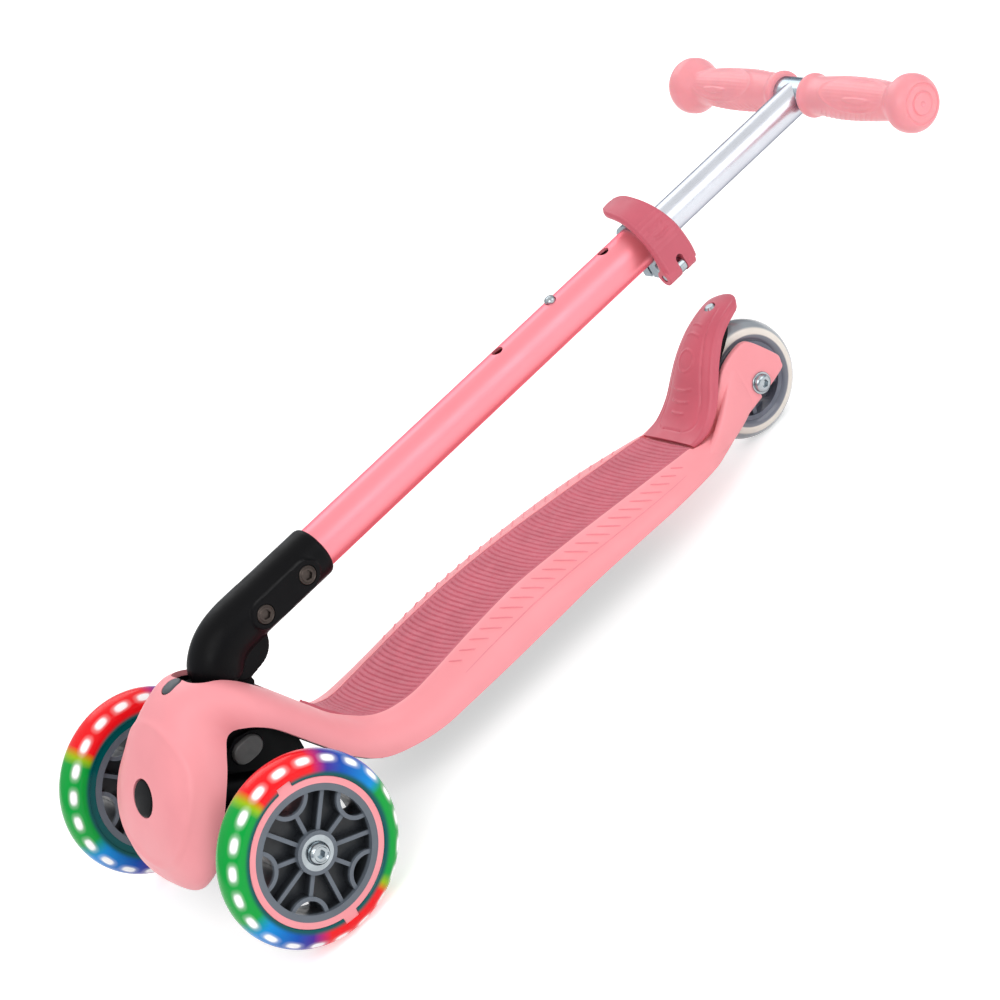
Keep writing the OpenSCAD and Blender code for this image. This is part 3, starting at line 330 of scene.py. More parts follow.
def step(x, low, high):
    """Smooth rise from 0 at low to 1 at high, 3t^2 - 2t^3."""
    t = np.clip((x - low) / (high - low), 0, 1)
    return t * t * (3 - 2 * t)


# ---------- objects ----------
def mesh_of(name, shapes, merge=0.002):
    """One mesh from shapes, with points closer than the merge distance joined and every face turned outwards."""
    points, faces, start = [], [], 0
    for p, f in shapes:
        points.append(p)
        faces += [[start + k for k in q] for q in f]
        start += len(p)
    mesh = bpy.data.meshes.new(name)
    mesh.from_pydata((np.vstack(points) + ORIGIN) * MM, [], faces)
    bm = bmesh.new()
    bm.from_mesh(mesh)
    bmesh.ops.remove_doubles(bm, verts=bm.verts, dist=merge * MM)
    bmesh.ops.recalc_face_normals(bm, faces=bm.faces)
    bm.to_mesh(mesh)
    bm.free()
    return mesh


def raw(name, shapes):
    """An object from shapes, with no material and riding on nothing yet."""
    obj = bpy.data.objects.new(name, mesh_of(name, shapes))
    bpy.context.scene.collection.objects.link(obj)
    return obj


def settle(obj):
    """Applies the object's modifiers to its mesh."""
    graph = bpy.context.evaluated_depsgraph_get()
    mesh = bpy.data.meshes.new_from_object(obj.evaluated_get(graph))
    obj.modifiers.clear()
    old, obj.data = obj.data, mesh
    mesh.name = obj.name
    bpy.data.meshes.remove(old)


def carve(obj, *shapes):
    """Cuts shapes out of an object."""
    for shape in shapes:
        cutter = raw("cutter", [shape])
        cut = obj.modifiers.new("cut", "BOOLEAN")
        cut.operation, cut.solver, cut.object = "DIFFERENCE", "EXACT", cutter
        settle(obj)
        bpy.data.objects.remove(cutter)


def melt(obj, cell, rounds):
    """Joins an object's overlapping shapes into one skin of small cells and softens it, as a moulding's fillets do."""
    grid = obj.modifiers.new("grid", "REMESH")
    grid.mode, grid.voxel_size = "VOXEL", cell * MM
    smooth = obj.modifiers.new("soft", "SMOOTH")
    smooth.factor, smooth.iterations = 0.5, rounds
    settle(obj)


def finish_piece(obj, material, body, stands_for=(), sharp=38.0):
    """Gives an object its finish and shading and makes it ride on its body."""
    obj.data.materials.clear()
    obj.data.materials.append(material)
    obj.data.shade_smooth()
    obj.data.set_sharp_from_angle(angle=math.radians(sharp))
    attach(obj, body)
    if stands_for:
        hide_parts(*stands_for)
    return obj


def piece(name, shapes, material, body, stands_for=(), sharp=38.0):
    """A finished piece made from shapes."""
    return finish_piece(raw(name, shapes), material, body, stands_for, sharp)


def dress(material, *nodes):
    """Gives CAD nodes a finish."""
    for node in nodes:
        obj = frame["nodes"][node]
        for k in range(max(1, len(obj.material_slots))):
            if not obj.material_slots:
                obj.data.materials.append(material)
            obj.material_slots[k].link = "OBJECT"
            obj.material_slots[k].material = material


# ---------- finishes ----------
def tint(red, green, blue):
    """A colour written in the usual 0-255 numbers, as the linear light that the shaders take."""
    shares = (red / 255, green / 255, blue / 255)
    return tuple(c / 12.92 if c <= 0.04045 else ((c + 0.055) / 1.055) ** 2.4 for c in shares)


class Finish:
    """A material and short calls for its nodes. Places are in millimetres from the point under the front axle."""

    def __init__(self, name, colour, rough, metal=0.0, **sockets):
        self.material = bpy.data.materials.new(name)
        self.material.use_nodes = True
        self.tree = self.material.node_tree
        self.shader = self.tree.nodes["Principled BSDF"]
        self.colour = tuple(colour) + (1.0,)
        self.rough = rough
        self.set("Base Color", self.colour)
        self.set("Roughness", rough)
        self.set("Metallic", metal)
        for key, value in sockets.items():
            self.set(key.replace("_", " "), value)

    def set(self, socket, value):
        """Writes a value on the shader's own socket."""
        self.shader.inputs[socket].default_value = value

    def link(self, output, socket):
        """Joins an output to a socket, or to the shader's socket of that name."""
        self.tree.links.new(output, self.shader.inputs[socket] if isinstance(socket, str) else socket)

    def node(self, kind, **settings):
        """A new node of a kind, with its settings."""
        node = self.tree.nodes.new("ShaderNode" + kind)
        for key, value in settings.items():
            setattr(node, key, value)
        return node

    def place(self, centre=(0, 0, 0), stretch=(1, 1, 1)):
        """Object coordinates in millimetres from a centre."""
        source = self.node("TexCoord").outputs["Object"]
        scale = self.node("Mapping")
        scale.inputs["Scale"].default_value = [s / MM for s in stretch]
        scale.inputs["Location"].default_value = [-(c + o) * s for c, o, s in zip(centre, ORIGIN, stretch)]
        self.link(source, scale.inputs["Vector"])
        return scale.outputs["Vector"]

    def split(self, centre):
        """The x, y and z of a place from a centre."""
        node = self.node("SeparateXYZ")
        self.link(self.place(centre), node.inputs[0])
        return node.outputs

    def calc(self, operation, *values):
        """A sum of numbers and sockets."""
        node = self.node("Math", operation=operation)
        for socket, value in zip(node.inputs, values):
            if isinstance(value, (int, float)):
                socket.default_value = value
            else:
                self.link(value, socket)
        return node.outputs[0]

    def radius(self, x, z):
        """Distance from the middle, the root of x^2 + z^2."""
        return self.calc("SQRT", self.calc("ADD", self.calc("MULTIPLY", x, x), self.calc("MULTIPLY", z, z)))

    def range(self, value, low, high, to_low=0.0, to_high=1.0, smooth=True):
        """A value carried from low and high to two others, and held at both."""
        node = self.node("MapRange", interpolation_type="SMOOTHSTEP" if smooth else "LINEAR")
        for socket, number in zip(node.inputs[1:5], (low, high, to_low, to_high)):
            socket.default_value = number
        self.link(value, node.inputs[0])
        return node.outputs[0]

    def noise(self, scale, detail=3.0, where=None):
        """Cloudy noise, its scale in waves to a millimetre."""
        node = self.node("TexNoise")
        node.inputs["Scale"].default_value = scale
        node.inputs["Detail"].default_value = detail
        self.link(where or self.place(), node.inputs["Vector"])
        return node.outputs["Fac"]

    def ramp(self, value, stops):
        """Colours at stops, each a place from 0 to 1 and a colour."""
        node = self.node("ValToRGB")
        marks = node.color_ramp.elements
        while len(marks) < len(stops):
            marks.new(0.5)
        for mark, (at, colour) in zip(marks, sorted(stops, key=lambda s: s[0])):
            mark.position, mark.color = at, tuple(colour) + (1.0,)
        self.link(value, node.inputs[0])
        return node.outputs["Color"]

    def mix(self, share, first, second, how="MIX"):
        """A share of the way from the first colour to the second."""
        node = self.node("Mix", data_type="RGBA", blend_type=how)
        for socket, value in ((node.inputs[0], share), (node.inputs[6], first), (node.inputs[7], second)):
            if isinstance(value, (int, float)):
                socket.default_value = value
            elif isinstance(value, (tuple, list)):
                socket.default_value = tuple(value)[:3] + (1.0,)
            else:
                self.link(value, socket)
        return node.outputs[2]

    def bump(self, height, strength, distance):
        """A relief of the surface, its distance in millimetres."""
        node = self.node("Bump")
        node.inputs["Strength"].default_value = strength
        node.inputs["Distance"].default_value = distance * MM
        self.link(height, node.inputs["Height"])
        self.link(node.outputs["Normal"], "Normal")

    def mottled(self, spread=0.06, size=22.0, rough_spread=0.06, grain=2.2, grain_depth=0.05, base=None):
        """Cloudy change of shade, uneven polish and a fine moulded grain."""
        cloud = self.noise(1.0 / size, 3.0)
        dark = [c * (1 - spread) for c in self.colour[:3]]
        light = [min(1.0, c * (1 + spread)) for c in self.colour[:3]]
        cloudy = self.range(cloud, 0.32, 0.68)
        if base is None:
            shade = self.ramp(cloudy, [(0.0, dark), (1.0, light)])
        else:
            shade = self.mix(1.0, base, self.ramp(cloudy, [(0.0, [1 - spread] * 3), (1.0, [1.0] * 3)]), "MULTIPLY")
        self.link(shade, "Base Color")
        wear = self.noise(1.0 / (size * 0.35), 5.0)
        self.link(self.range(wear, 0.3, 0.7, self.rough - rough_spread, self.rough + rough_spread), "Roughness")
        self.bump(self.noise(grain, 2.0), 0.35, grain_depth)
        return self.material

    def brushed(self, along, spread=0.10, fine=6.0, depth=0.02):
        """Fine lines along a direction: noise that is stretched along it."""
        stretch = [0.03 if abs(a) > 0.5 else 1.0 for a in along]
        lines = self.noise(fine, 4.0, self.place(stretch=stretch))
        self.link(self.range(lines, 0.3, 0.7, self.rough - spread * 0.5, self.rough + spread), "Roughness")
        dark = [c * 0.93 for c in self.colour[:3]]
        self.link(self.ramp(self.noise(0.05, 3.0), [(0.35, dark), (0.65, self.colour[:3])]), "Base Color")
        self.bump(lines, 0.25, depth)
        return self.material


# the lit tyres: where the tread's shoulder starts, the ring that the spots' middles stand on and a spot's half length,
# half width and place round the shoulder
SHOULDER_R, SPOT_RING = 50.5, 57
SPOT_LONG, SPOT_WIDE, SPOT_OVER = 4.7, 2.5, 0.88


def glowing_tyre(name, side, looks):
    """A clear tyre lit from inside. Its colour follows the angle round the axle, and white spots stand at even steps.
    A spot is where the root of |along|^2.6 + |across|^2.6 is small, in shares of its half length and half width."""
    finish = Finish(name, tint(0, 165, 75), 0.2, Coat_Weight=0.12, Coat_Roughness=0.1, Specular_IOR_Level=0.15)
    calc = finish.calc
    x, y, z = finish.split((0, side * HALF_TRACK, FRONT_R))
    turn = calc("DIVIDE", calc("ARCTAN2", z, x), 2 * math.pi)
    radius = finish.radius(x, z)
    red, amber, green = tint(238, 22, 30), tint(150, 190, 8), tint(0, 158, 60)
    cyan, blue, violet = tint(0, 140, 215), tint(0, 78, 175), tint(70, 40, 150)
    # the lights stand at other turns in the two tyres
    low, high = ((-4, 71), (-1, 57))[side < 0]
    phase = looks.spot_phase + (0 if side > 0 else 0.83)
    stops = [
        (-180, green), (-124, green), (-118, amber), (-112, red), (-66, red), (-52, violet), (-40, blue),
        (low - 12, cyan), (low, green), (high - 5, green), (high, amber), (high + 6, red),
        (118, red), (130, violet), (142, blue), (168, cyan), (176, green),
    ]
    colour = finish.ramp(calc("ADD", turn, 0.5), [((a + 180) / 360, c) for a, c in stops])
    teal = finish.mix(finish.range(radius, 50.6, 47.2), colour, tint(0, 84, 86))
    step_angle = 1.0 / looks.spot_count
    lane = calc("SUBTRACT", calc("FRACT", calc("ADD", calc("DIVIDE", turn, step_angle), phase)), 0.5)
    along = calc("DIVIDE", calc("MULTIPLY", lane, step_angle * 2 * math.pi * SPOT_RING), SPOT_LONG)
    over = calc("ARCTAN2", calc("MULTIPLY", calc("ABSOLUTE", y), 0.83), calc("SUBTRACT", radius, SHOULDER_R))
    across = calc("DIVIDE", calc("MULTIPLY", calc("SUBTRACT", over, SPOT_OVER), 11.0), SPOT_WIDE)
    reach = calc("SQRT", calc("ADD", *(calc("POWER", calc("ABSOLUTE", part), 2.6) for part in (along, across))))
    lit = finish.mix(finish.range(reach, 2.2, 0.9, 0.0, 0.22), teal, (1, 1, 1))
    lit = finish.mix(finish.range(reach, 1.3, 0.55), lit, (1, 1, 1))
    finish.link(lit, "Base Color")
    finish.link(lit, "Emission Color")
    finish.set("Emission Strength", looks.glow)
    finish.link(finish.range(finish.noise(0.12, 4.0), 0.3, 0.7, 0.14, 0.24), "Roughness")
    finish.bump(finish.noise(1.4, 2.0), 0.15, 0.03)
    return finish.material


def wheel_centre(name, colour, side):
    """Grey moulding with painted shade in its depth: darker away from its outer faces, where the light of a room
    doesn't reach.
    """
    finish = Finish(name, colour, 0.36, Specular_IOR_Level=0.4)
    y = finish.split((0, side * HALF_TRACK, FRONT_R))[1]
    # painted shade: the grey goes down to about a sixth in the hub's recesses, deeper than its outer faces
    deep = finish.range(finish.calc("ABSOLUTE", y), 6.2, 8.6)
    recess_painted_shade = finish.mix(deep, [c * 0.16 for c in colour[:3]], colour)
    return finish.mottled(0.08, 14.0, 0.07, 3.0, 0.04, base=recess_painted_shade)


def clear_tyre(name, looks):
    """A cast tyre over a grey core: cream in a ring, grey and clear at the tread and over the wheel centre."""
    finish = Finish(name, looks.cream, 0.16, Coat_Weight=0.3, Coat_Roughness=0.08)
    x, _, z = finish.split((REAR_X, 0, REAR_R))
    smoke, dark, cream = tint(150, 158, 164), tint(96, 104, 110), tint(240, 234, 224)
    inner, outer = 26, 40
    stops = [
        (inner, tint(104, 110, 124)), (30.4, tint(120, 126, 138)), (31.2, cream), (34.6, cream),
        (35.8, smoke), (38.2, smoke), (outer, dark),
    ]
    share = finish.range(finish.radius(x, z), inner, outer, smooth=False)
    ringed = finish.ramp(share, [((r - inner) / (outer - inner), c) for r, c in stops])
    return finish.mottled(0.04, 12.0, 0.05, 2.0, 0.03, base=ringed)


def make_finishes(looks):
    """Every finish by its short name. A row of the table is the short name, the material's name, colour, roughness,
    metal and settings of the shader, then the numbers that mottled takes."""
    zinc = {"Specular_Tint": (0.3, 0.3, 0.32, 1.0)}
    rose = {"Specular_Tint": (1.0, 0.06, 0.22, 1.0), "Specular_IOR_Level": 0.25}
    rubber = {"Specular_IOR_Level": 0.4, "Subsurface_Weight": 0.15, "Subsurface_Scale": 0.004}
    low, dull, fair, full = ({"Specular_IOR_Level": level} for level in (0.09, 0.3, 0.35, 0.4))
    table = (
        ("shell", "moulded_pink", looks.shell, 0.42, 0, fair, 0.025, 40.0, 0.04, 3.0, 0.03),
        # the band lines' pink is darker than the shell's: painted shade of the grooves and the crease that the dashes
        # and closing line stand for
        ("dash", "moulded_pink_lines", looks.dash, 0.42, 0, fair, 0.025, 40.0, 0.04, 3.0, 0.03),
        ("deep", "moulded_deep_pink", looks.deep, 0.42, 0, full, 0.04, 25.0, 0.05, 3.0, 0.035),
        ("mat", "foot_mat_rubber", looks.mat, 0.55, 0, fair, 0.05, 18.0, 0.06, 3.5, 0.05),
        ("black", "glass_filled_black", looks.black, 0.4, 0, low, 0.15, 30.0, 0.07, 2.6, 0.045),
        ("button", "button_grey", tint(78, 84, 90), 0.4, 0, dull, 0.06, 8.0, 0.05, 4.0, 0.03),
        ("push", "push_button_grey", tint(84, 84, 84), 0.42, 0, dull, 0.08, 8.0, 0.05, 4.0, 0.03),
        ("rear_rim", "rear_wheel_grey", tint(108, 114, 128), 0.35, 0, full, 0.1, 12.0, 0.06, 3.0, 0.04),
        ("paint", "satin_pink_coat", looks.paint, 0.4, 0.6, rose, 0.02, 60.0, 0.03, 5.0, 0.01),
        ("steel", "bright_zinc", tint(168, 176, 180), 0.2, 1, zinc, 0.08, 9.0, 0.05, 5.0, 0.01),
        ("bronze", "dark_bolt", tint(70, 62, 58), 0.36, 0.8, {}, 0.12, 4.0, 0.08, 6.0, 0.03),
        ("collar", "cast_collar", tint(160, 172, 178), 0.3, 0.9, zinc, 0.06, 6.0, 0.07, 4.0, 0.03),
        ("grip", "grip_rubber", looks.grip, 0.33, 0, rubber, 0.025, 16.0, 0.05, 4.0, 0.05),
        ("nylon", "natural_nylon", tint(222, 219, 210), 0.45, 0, {}, 0.04, 8.0, 0.05, 4.0, 0.03),
        ("lamp", "light_ring", tint(255, 250, 240), 0.3, 0, {}, 0.05, 5.0, 0.05, 5.0, 0.02),
    )
    made = {}
    for key, name, shade, rough, metal, settings, *clouds in table:
        made[key] = Finish(name, shade, rough, metal, **settings).mottled(*clouds)
    aluminium = {"Specular_Tint": (0.16, 0.17, 0.22, 1.0)}
    made["tube"] = Finish("polished_aluminium", tint(212, 215, 222), 0.3, 1, **aluminium).brushed(
        COLUMN_AXIS, 0.08, 4.0, 0.006)
    aluminium = {"Specular_Tint": (0.25, 0.26, 0.3, 1.0)}
    made["bar"] = Finish("polished_aluminium_bar", tint(186, 198, 206), 0.22, 1, **aluminium).brushed((0, 1, 0))
    made["cream"] = clear_tyre("cast_clear_tyre", looks)
    for side, hand in HANDS:
        made["rim_" + hand] = wheel_centre("wheel_centre_" + hand, tuple(looks.rim), side)
        made["glow_" + hand] = glowing_tyre("lit_tyre_" + hand, side, looks)
    return made


FINISH = {}


# ---------- sizes and colours a user would change ----------
def length(name, millimetres, note):
    """A length, written in millimetres and kept in metres."""
    return FloatProperty(
        name=name, description=note, default=millimetres * MM, min=0.0, subtype="DISTANCE", unit="LENGTH", precision=5
    )


def colour(name, value, note):
    """A colour, written in the usual 0-255 numbers."""
    return FloatVectorProperty(
        name=name, description=note, default=tint(*value), size=3, min=0.0, max=1.0, subtype="COLOR"
    )


def amount(name, value, low, high, note, **more):
    """A whole number or a share, with its limits."""
    kind = IntProperty if isinstance(value, int) else FloatProperty
    return kind(name=name, description=note, default=value, min=low, max=high, **more)


class ScooterSizes(bpy.types.PropertyGroup):
    """Sizes of the pieces that are made again"""

    wall: length("Deck wall", 3.5, "Thickness of the deck and nose moulding")
    lip: length("Deck lip", 1.7, "How far the deck's edge stands above the bed of the foot mat")
    dash_pitch: length("Dash pitch", 9.7, "Distance between the raised dashes on the deck's side bands")
    dash_height: length("Dash height", 0.8, "Height of the raised dashes")
    rib_pitch: length("Rib pitch", 3.7, "Distance between the ribs of the foot mat")
    rib_height: length("Rib height", 0.8, "Height of the ribs of the foot mat")
    crescent_height: length("Crescent height", 1.3, "Height of the curved line on the nose")
    blade: length("Lever blade", 6.0, "Thickness of the clamp lever")
    lever_width: length("Lever width", 28.0, "Width of the clamp lever at its pivot")
    pedal_wall: length("Pedal wall", 3.2, "Thickness of the brake pedal")


class ScooterLooks(bpy.types.PropertyGroup):
    """Colours of the finishes and the light of the front tyres"""

    shell: colour("Shell", (254, 161, 168), "Light pink of the deck and nose")
    # a darker pink than the shell's, as painted shade of the band's grooves and crease
    dash: colour("Band lines", (244, 146, 156), "Pink of the raised dashes and of the line below them")
    deep: colour("Lever and brake", (205, 97, 113), "Deep pink of the clamp lever and the brake pedal")
    mat: colour("Foot mat", (204, 108, 124), "Deep pink of the foot mat")
    paint: colour("Lower tube", (252, 152, 162), "Pink coat of the lower tube")
    grip: colour("Grips", (252, 160, 168), "Light pink of the grips")
    black: colour("Black parts", (12, 12, 14), "Black of the elbow and the steering carrier")
    rim: colour("Wheel centres", (104, 112, 122), "Grey of the front wheel centres")
    cream: colour("Rear tyre", (226, 222, 208), "Cream of the rear tyre")
    spot_count: amount("Light spots", 21, 8, 40, "White spots round each front tyre")
    spot_phase: amount("Spot phase", 0.818, 0.0, 1.0, "Place of the first spot, in shares of a step", subtype="FACTOR")
    glow: amount("Glow", 0.12, 0.0, 5.0, "Strength of the tyre's own light")


def mm(value):
    """A size in metres as millimetres."""
    return value / MM


# ---------- deck ----------
def deck_skin(rows, turns, inset, lip=0.0):
    """The deck's skin. The turns run from -1 at the right edge to 1 at the left. Over the flat y = m |t|; beyond it,
    with a from 0 to 90 degrees, y = m + (w - m) sin(a)^(2/e) and the depth is (d - inset)(1 - cos(a)^0.9) below the
    top. Where the mat lies, a lip of lip exp(-((y - m)/6)^2) stands just outside the flat."""
    top, low = rows[:, None, 0:2], rows[:, None, 3:5]
    depth = np.linalg.norm(top - low, axis=2)
    up = (top - low) / depth[..., None]
    wide = rows[:, None, 2] - inset
    flat = np.minimum(rows[:, None, 5], wide - 0.5)
    turns = np.atleast_2d(turns)
    t = np.abs(turns)
    a = np.clip((t - FLAT_SHARE) / (1 - FLAT_SHARE), 0, 1) * math.pi / 2
    y = np.where(t < FLAT_SHARE, flat * t / FLAT_SHARE, flat + (wide - flat) * np.sin(a) ** (2 / rows[:, None, 6]))
    n = -inset - (depth - inset) * (1 - np.maximum(np.cos(a), 0) ** 0.9)
    x = rows[:, None, 0]
    # the bed of the mat fades in over its rear end and out below the nose
    bed = step(x, -398, -384) * (1 - step(x, -98, -84))
    n = n + np.where(t > FLAT_SHARE, lip * bed * ridge(y - flat, 6.0), 0)
    place = top + up * n[..., None]
    return np.stack([place[..., 0], np.sign(turns) * y, place[..., 1]], -1)


def crest_height(x):
    """Height of the deck's middle line over a place along x, as far as the nose's front, where it turns down."""
    per, front_row = 12, 23
    rows = spline(DECK, per)[: per * front_row]
    return np.interp(x, rows[:, 0], rows[:, 1])


def crescent(points, height):
    """The nose's soft oval line, round the cap: with r = hypot(across / half, along / long), it rises by
    height exp(-(half (r - 1) / 2.6)^2), and the field inside it by a third of that."""
    along = (points - SHIELD_CENTRE) @ SHIELD_WAY
    reach = np.hypot(points[..., 1] / SHIELD_HALF, along / SHIELD_LONG)
    line, field = ridge((reach - 1) * SHIELD_HALF, 2.6), 0.3 * (1 - step(reach, 0.9, 1.0))
    return height * step(points[..., 0], -4, 6) * (line + field)


def capsule(x0, x1, radius, draws, rises, steps=24):
    """A long rounded outline between two places along x, drawn in by each draw and lifted by each rise above the deck's
    crest, z = crest + rise - y^2 / 60."""
    a = np.linspace(-math.pi / 2, math.pi / 2, steps)
    x = np.r_[x1 + radius * np.cos(a), x0 - radius * np.cos(a)]
    y = np.r_[radius * np.sin(a), -radius * np.sin(a)]
    middle, reach = (x0 + x1) / 2, radius + (x1 - x0) / 2
    rings = []
    for draw, rise in zip(draws, rises):
        px, py = middle + (x - middle) * (1 - draw / reach), y * (1 - draw / radius)
        rings.append(np.stack([px, py, crest_height(px) + rise - py**2 / 60], 1))
    return skin(np.stack(rings))


class SCOOTER_OT_deck(bpy.types.Operator):
    """The light pink deck and nose moulding with its two rear fork arms"""

    bl_idname = "scooter.deck"
    bl_label = "Deck and nose"

    def execute(self, context):
        sizes = context.scene.scooter_sizes
        # the nose, from the fold slot on, has rows and columns close enough for its raised line
        per, nose_per = 9, 18
        rows = np.vstack([spline(DECK, per)[: per * NOSE_ROW], spline(DECK, nose_per)[nose_per * NOSE_ROW :]])
        band = np.r_[FLAT_SHARE + 1e-4, np.linspace(FLAT_SHARE, 1, 46)[1:]]
        turns = np.r_[-band[::-1], np.linspace(-FLAT_SHARE, FLAT_SHARE, 15), band]
        outer = deck_skin(rows, turns, 0.0, mm(sizes.lip))
        raised = pushed(outer, crescent(outer, mm(sizes.crescent_height))) - outer
        outer = outer + raised * (rows[:, 0] > -30)[:, None, None]
        inner = deck_skin(rows, turns, mm(sizes.wall))[:, ::-1]
        # the lower edges are rounded by one more point half-way through the wall
        down = np.stack([rows[:, 3] - rows[:, 0], np.zeros(len(rows)), rows[:, 4] - rows[:, 1]], 1)
        down = 0.5 * down / np.linalg.norm(down, axis=1)[:, None]
        left = ((outer[:, -1] + inner[:, 0]) / 2 + down)[:, None]
        right = ((outer[:, 0] + inner[:, -1]) / 2 + down)[:, None]
        body = raw("deck_body", [skin(np.concatenate([outer, left, left, inner, right, right], 1), "strip")])
        finish_piece(self.opened(body), FINISH["shell"], "deck", ("deck_shell",))
        finish_piece(self.fork(), FINISH["shell"], "deck", ())
        return {"FINISHED"}

    def opened(self, body):
        """The nose opening, the bores of the cap and the lock button, and the gap between the fork arms."""
        front = [[-33.4, 113.6], [-33.4, 168], [-80, 170]]
        slot = [[-80, 132], [-63.0, 118.2], [-55.9, 107.6], [-46, 98]] + front
        mouth = [[-80, 140], [-57.2, 122.1], [-50.1, 111.5], [-43, 103]] + front
        narrow = [[-40, 105.5], [-22.5, 128], [-23.5, 146], [-23.5, 168], [-40, 168]]
        behind, arms_end, pedal_end, above = REAR_X + 20, REAR_X + 63, REAR_X + 71.8, 60
        wheel_gap = [[behind, 10], [arms_end, 10], [arms_end, 70], [behind, 70]]
        pedal_gap = [[behind, 36.9], [REAR_X + 52, 37.2], [pedal_end, 39.6], [pedal_end, above], [behind, above]]
        carve(
            body,
            prism(slot, -SLOT_HALF, SLOT_HALF),
            prism(mouth, -MOUTH_HALF, MOUTH_HALF),
            *(rod([-62.6, y, 130.1], [-45.0, y, 103.8], REAR_CORNER, 64) for y in (SLOT_HALF, -SLOT_HALF)),
            prism(narrow, -FRONT_HALF, FRONT_HALF),
            *(rod([-33.5, y, 128], [-33.5, y, 170], FRONT_CORNER, 64) for y in (FRONT_HALF, -FRONT_HALF)),
            rod(steer(43.0), steer(70.0), 12.2, 64),
            capsule(LOCK_FROM, LOCK_TO, LOCK_R + 0.7, [0, 0], [-14, 14]),
            prism(wheel_gap, -ARM_IN, ARM_IN),
            prism(pedal_gap, -29.5, 29.5),
        )
        return body

    def fork(self):
        """The two arms and the cheeks that carry the deck's sides over into them, as one softened moulding with the
        axle's open slots. A cheek's section is x = w |cos|^0.6, z = h |sin|^0.7, with the signs of cos and sin."""
        outline = ring_spline(ARM, 5) + [REAR_X, 0]
        shapes = [rounded_plate(outline, *sorted((side * ARM_IN, side * ARM_OUT)), 1.6) for side in (-1, 1)]
        rows = spline(CHEEK, 6)
        a = round_angles(40)[None]
        across = rows[:, 1:2] + rows[:, 2:3] * soft(np.cos(a), 0.6)
        tall = rows[:, 3:4] + rows[:, 4:5] * soft(np.sin(a), 0.7)
        shapes += [skin(np.stack([rows[:, 0:1] + 0 * a, side * across, tall], -1)) for side in (-1, 1)]
        fork = raw("fork_arms", shapes)
        melt(fork, 0.6, 5)
        axle_r = 4.1
        front = REAR_X + axle_r
        back = front - 2 * axle_r
        carve(
            fork,
            rod([REAR_X, -40, REAR_R], [REAR_X, 40, REAR_R], axle_r),
            prism([[back, 0], [front, 0], [front, REAR_R], [back, REAR_R]], -40, 40),
        )
        return fork


class SCOOTER_OT_dashes(bpy.types.Operator):
    """The rows of low dashes along the deck's side bands, shorter towards both ends"""

    bl_idname = "scooter.dashes"
    bl_label = "Band dashes"

    def execute(self, context):
        sizes = context.scene.scooter_sizes
        per = 40
        rows, at = even(spline(DECK, per)[int(DASH_FROM * per) : int(DASH_TO * per)], 0.5)
        pitch, lip = mm(sizes.dash_pitch), mm(sizes.lip)
        count = int(at[-1] / pitch)
        shapes = []
        # in shares of the turn, where a dash starts, how far it reaches and where the closing line stands; in
        # millimetres, how far a dash slants back, its half width and how deep its border is sunk under the skin
        band_from, band_reach, line_at = 0.355, 0.24, 0.655
        slant, half_wide, sunk = 9.5, 0.75, 0.2
        # a dash is a low dome: height (1 - out^4)^0.5 (1 - over^2)
        out, over = np.linspace(-1, 1, 17), np.linspace(-1, 1, 7)
        for k in range(count):
            share = (k + 0.5) / count
            long = 0.5 + 0.5 * min(1.0, 2.0 * math.sin(math.pi * share))
            t = band_from + band_reach * long * (1 + out) / 2
            # each dash runs back as it runs out, so a point is a place along the deck and a share of the turn
            back = (k + 0.5) * pitch - slant * long * (1 + out) / 2 + 4.0
            lift = (mm(sizes.dash_height) + sunk) * np.outer(np.sqrt(1 - out**4), 1 - over**2) - sunk
            where = (back[None] + half_wide * over[:, None]).ravel()
            line = np.stack([np.interp(where, at, rows[:, c]) for c in range(7)], 1)
            for side in (-1, 1):
                grid = deck_skin(line, side * np.tile(t, len(over))[:, None], 0.0, lip)
                shapes.append(patch(pushed(grid.reshape(len(over), len(out), 3), lift.T * side)))
        # the dashes take the darker band-line pink: painted shade of grooves
        piece("band_dashes", shapes, FINISH["dash"], "deck", (), 60)
        # the line that closes the band below the dashes
        rows = rows[::4]
        ends = np.sqrt(np.clip(np.sin(math.pi * np.linspace(0, 1, len(rows))), 0, 1))
        lift = 0.65 * np.outer(ends, 1 - over**2) - sunk
        lines = []
        for side in (-1, 1):
            grid = deck_skin(rows, side * (line_at + 0.012 * over), 0.0, lip)
            lines.append(patch(pushed(grid, lift * side)))
        # the closing line takes the same darker pink: painted shade of the crease below the band's ridge
        piece("band_lines", lines, FINISH["dash"], "deck", (), 60)
        return {"FINISHED"}


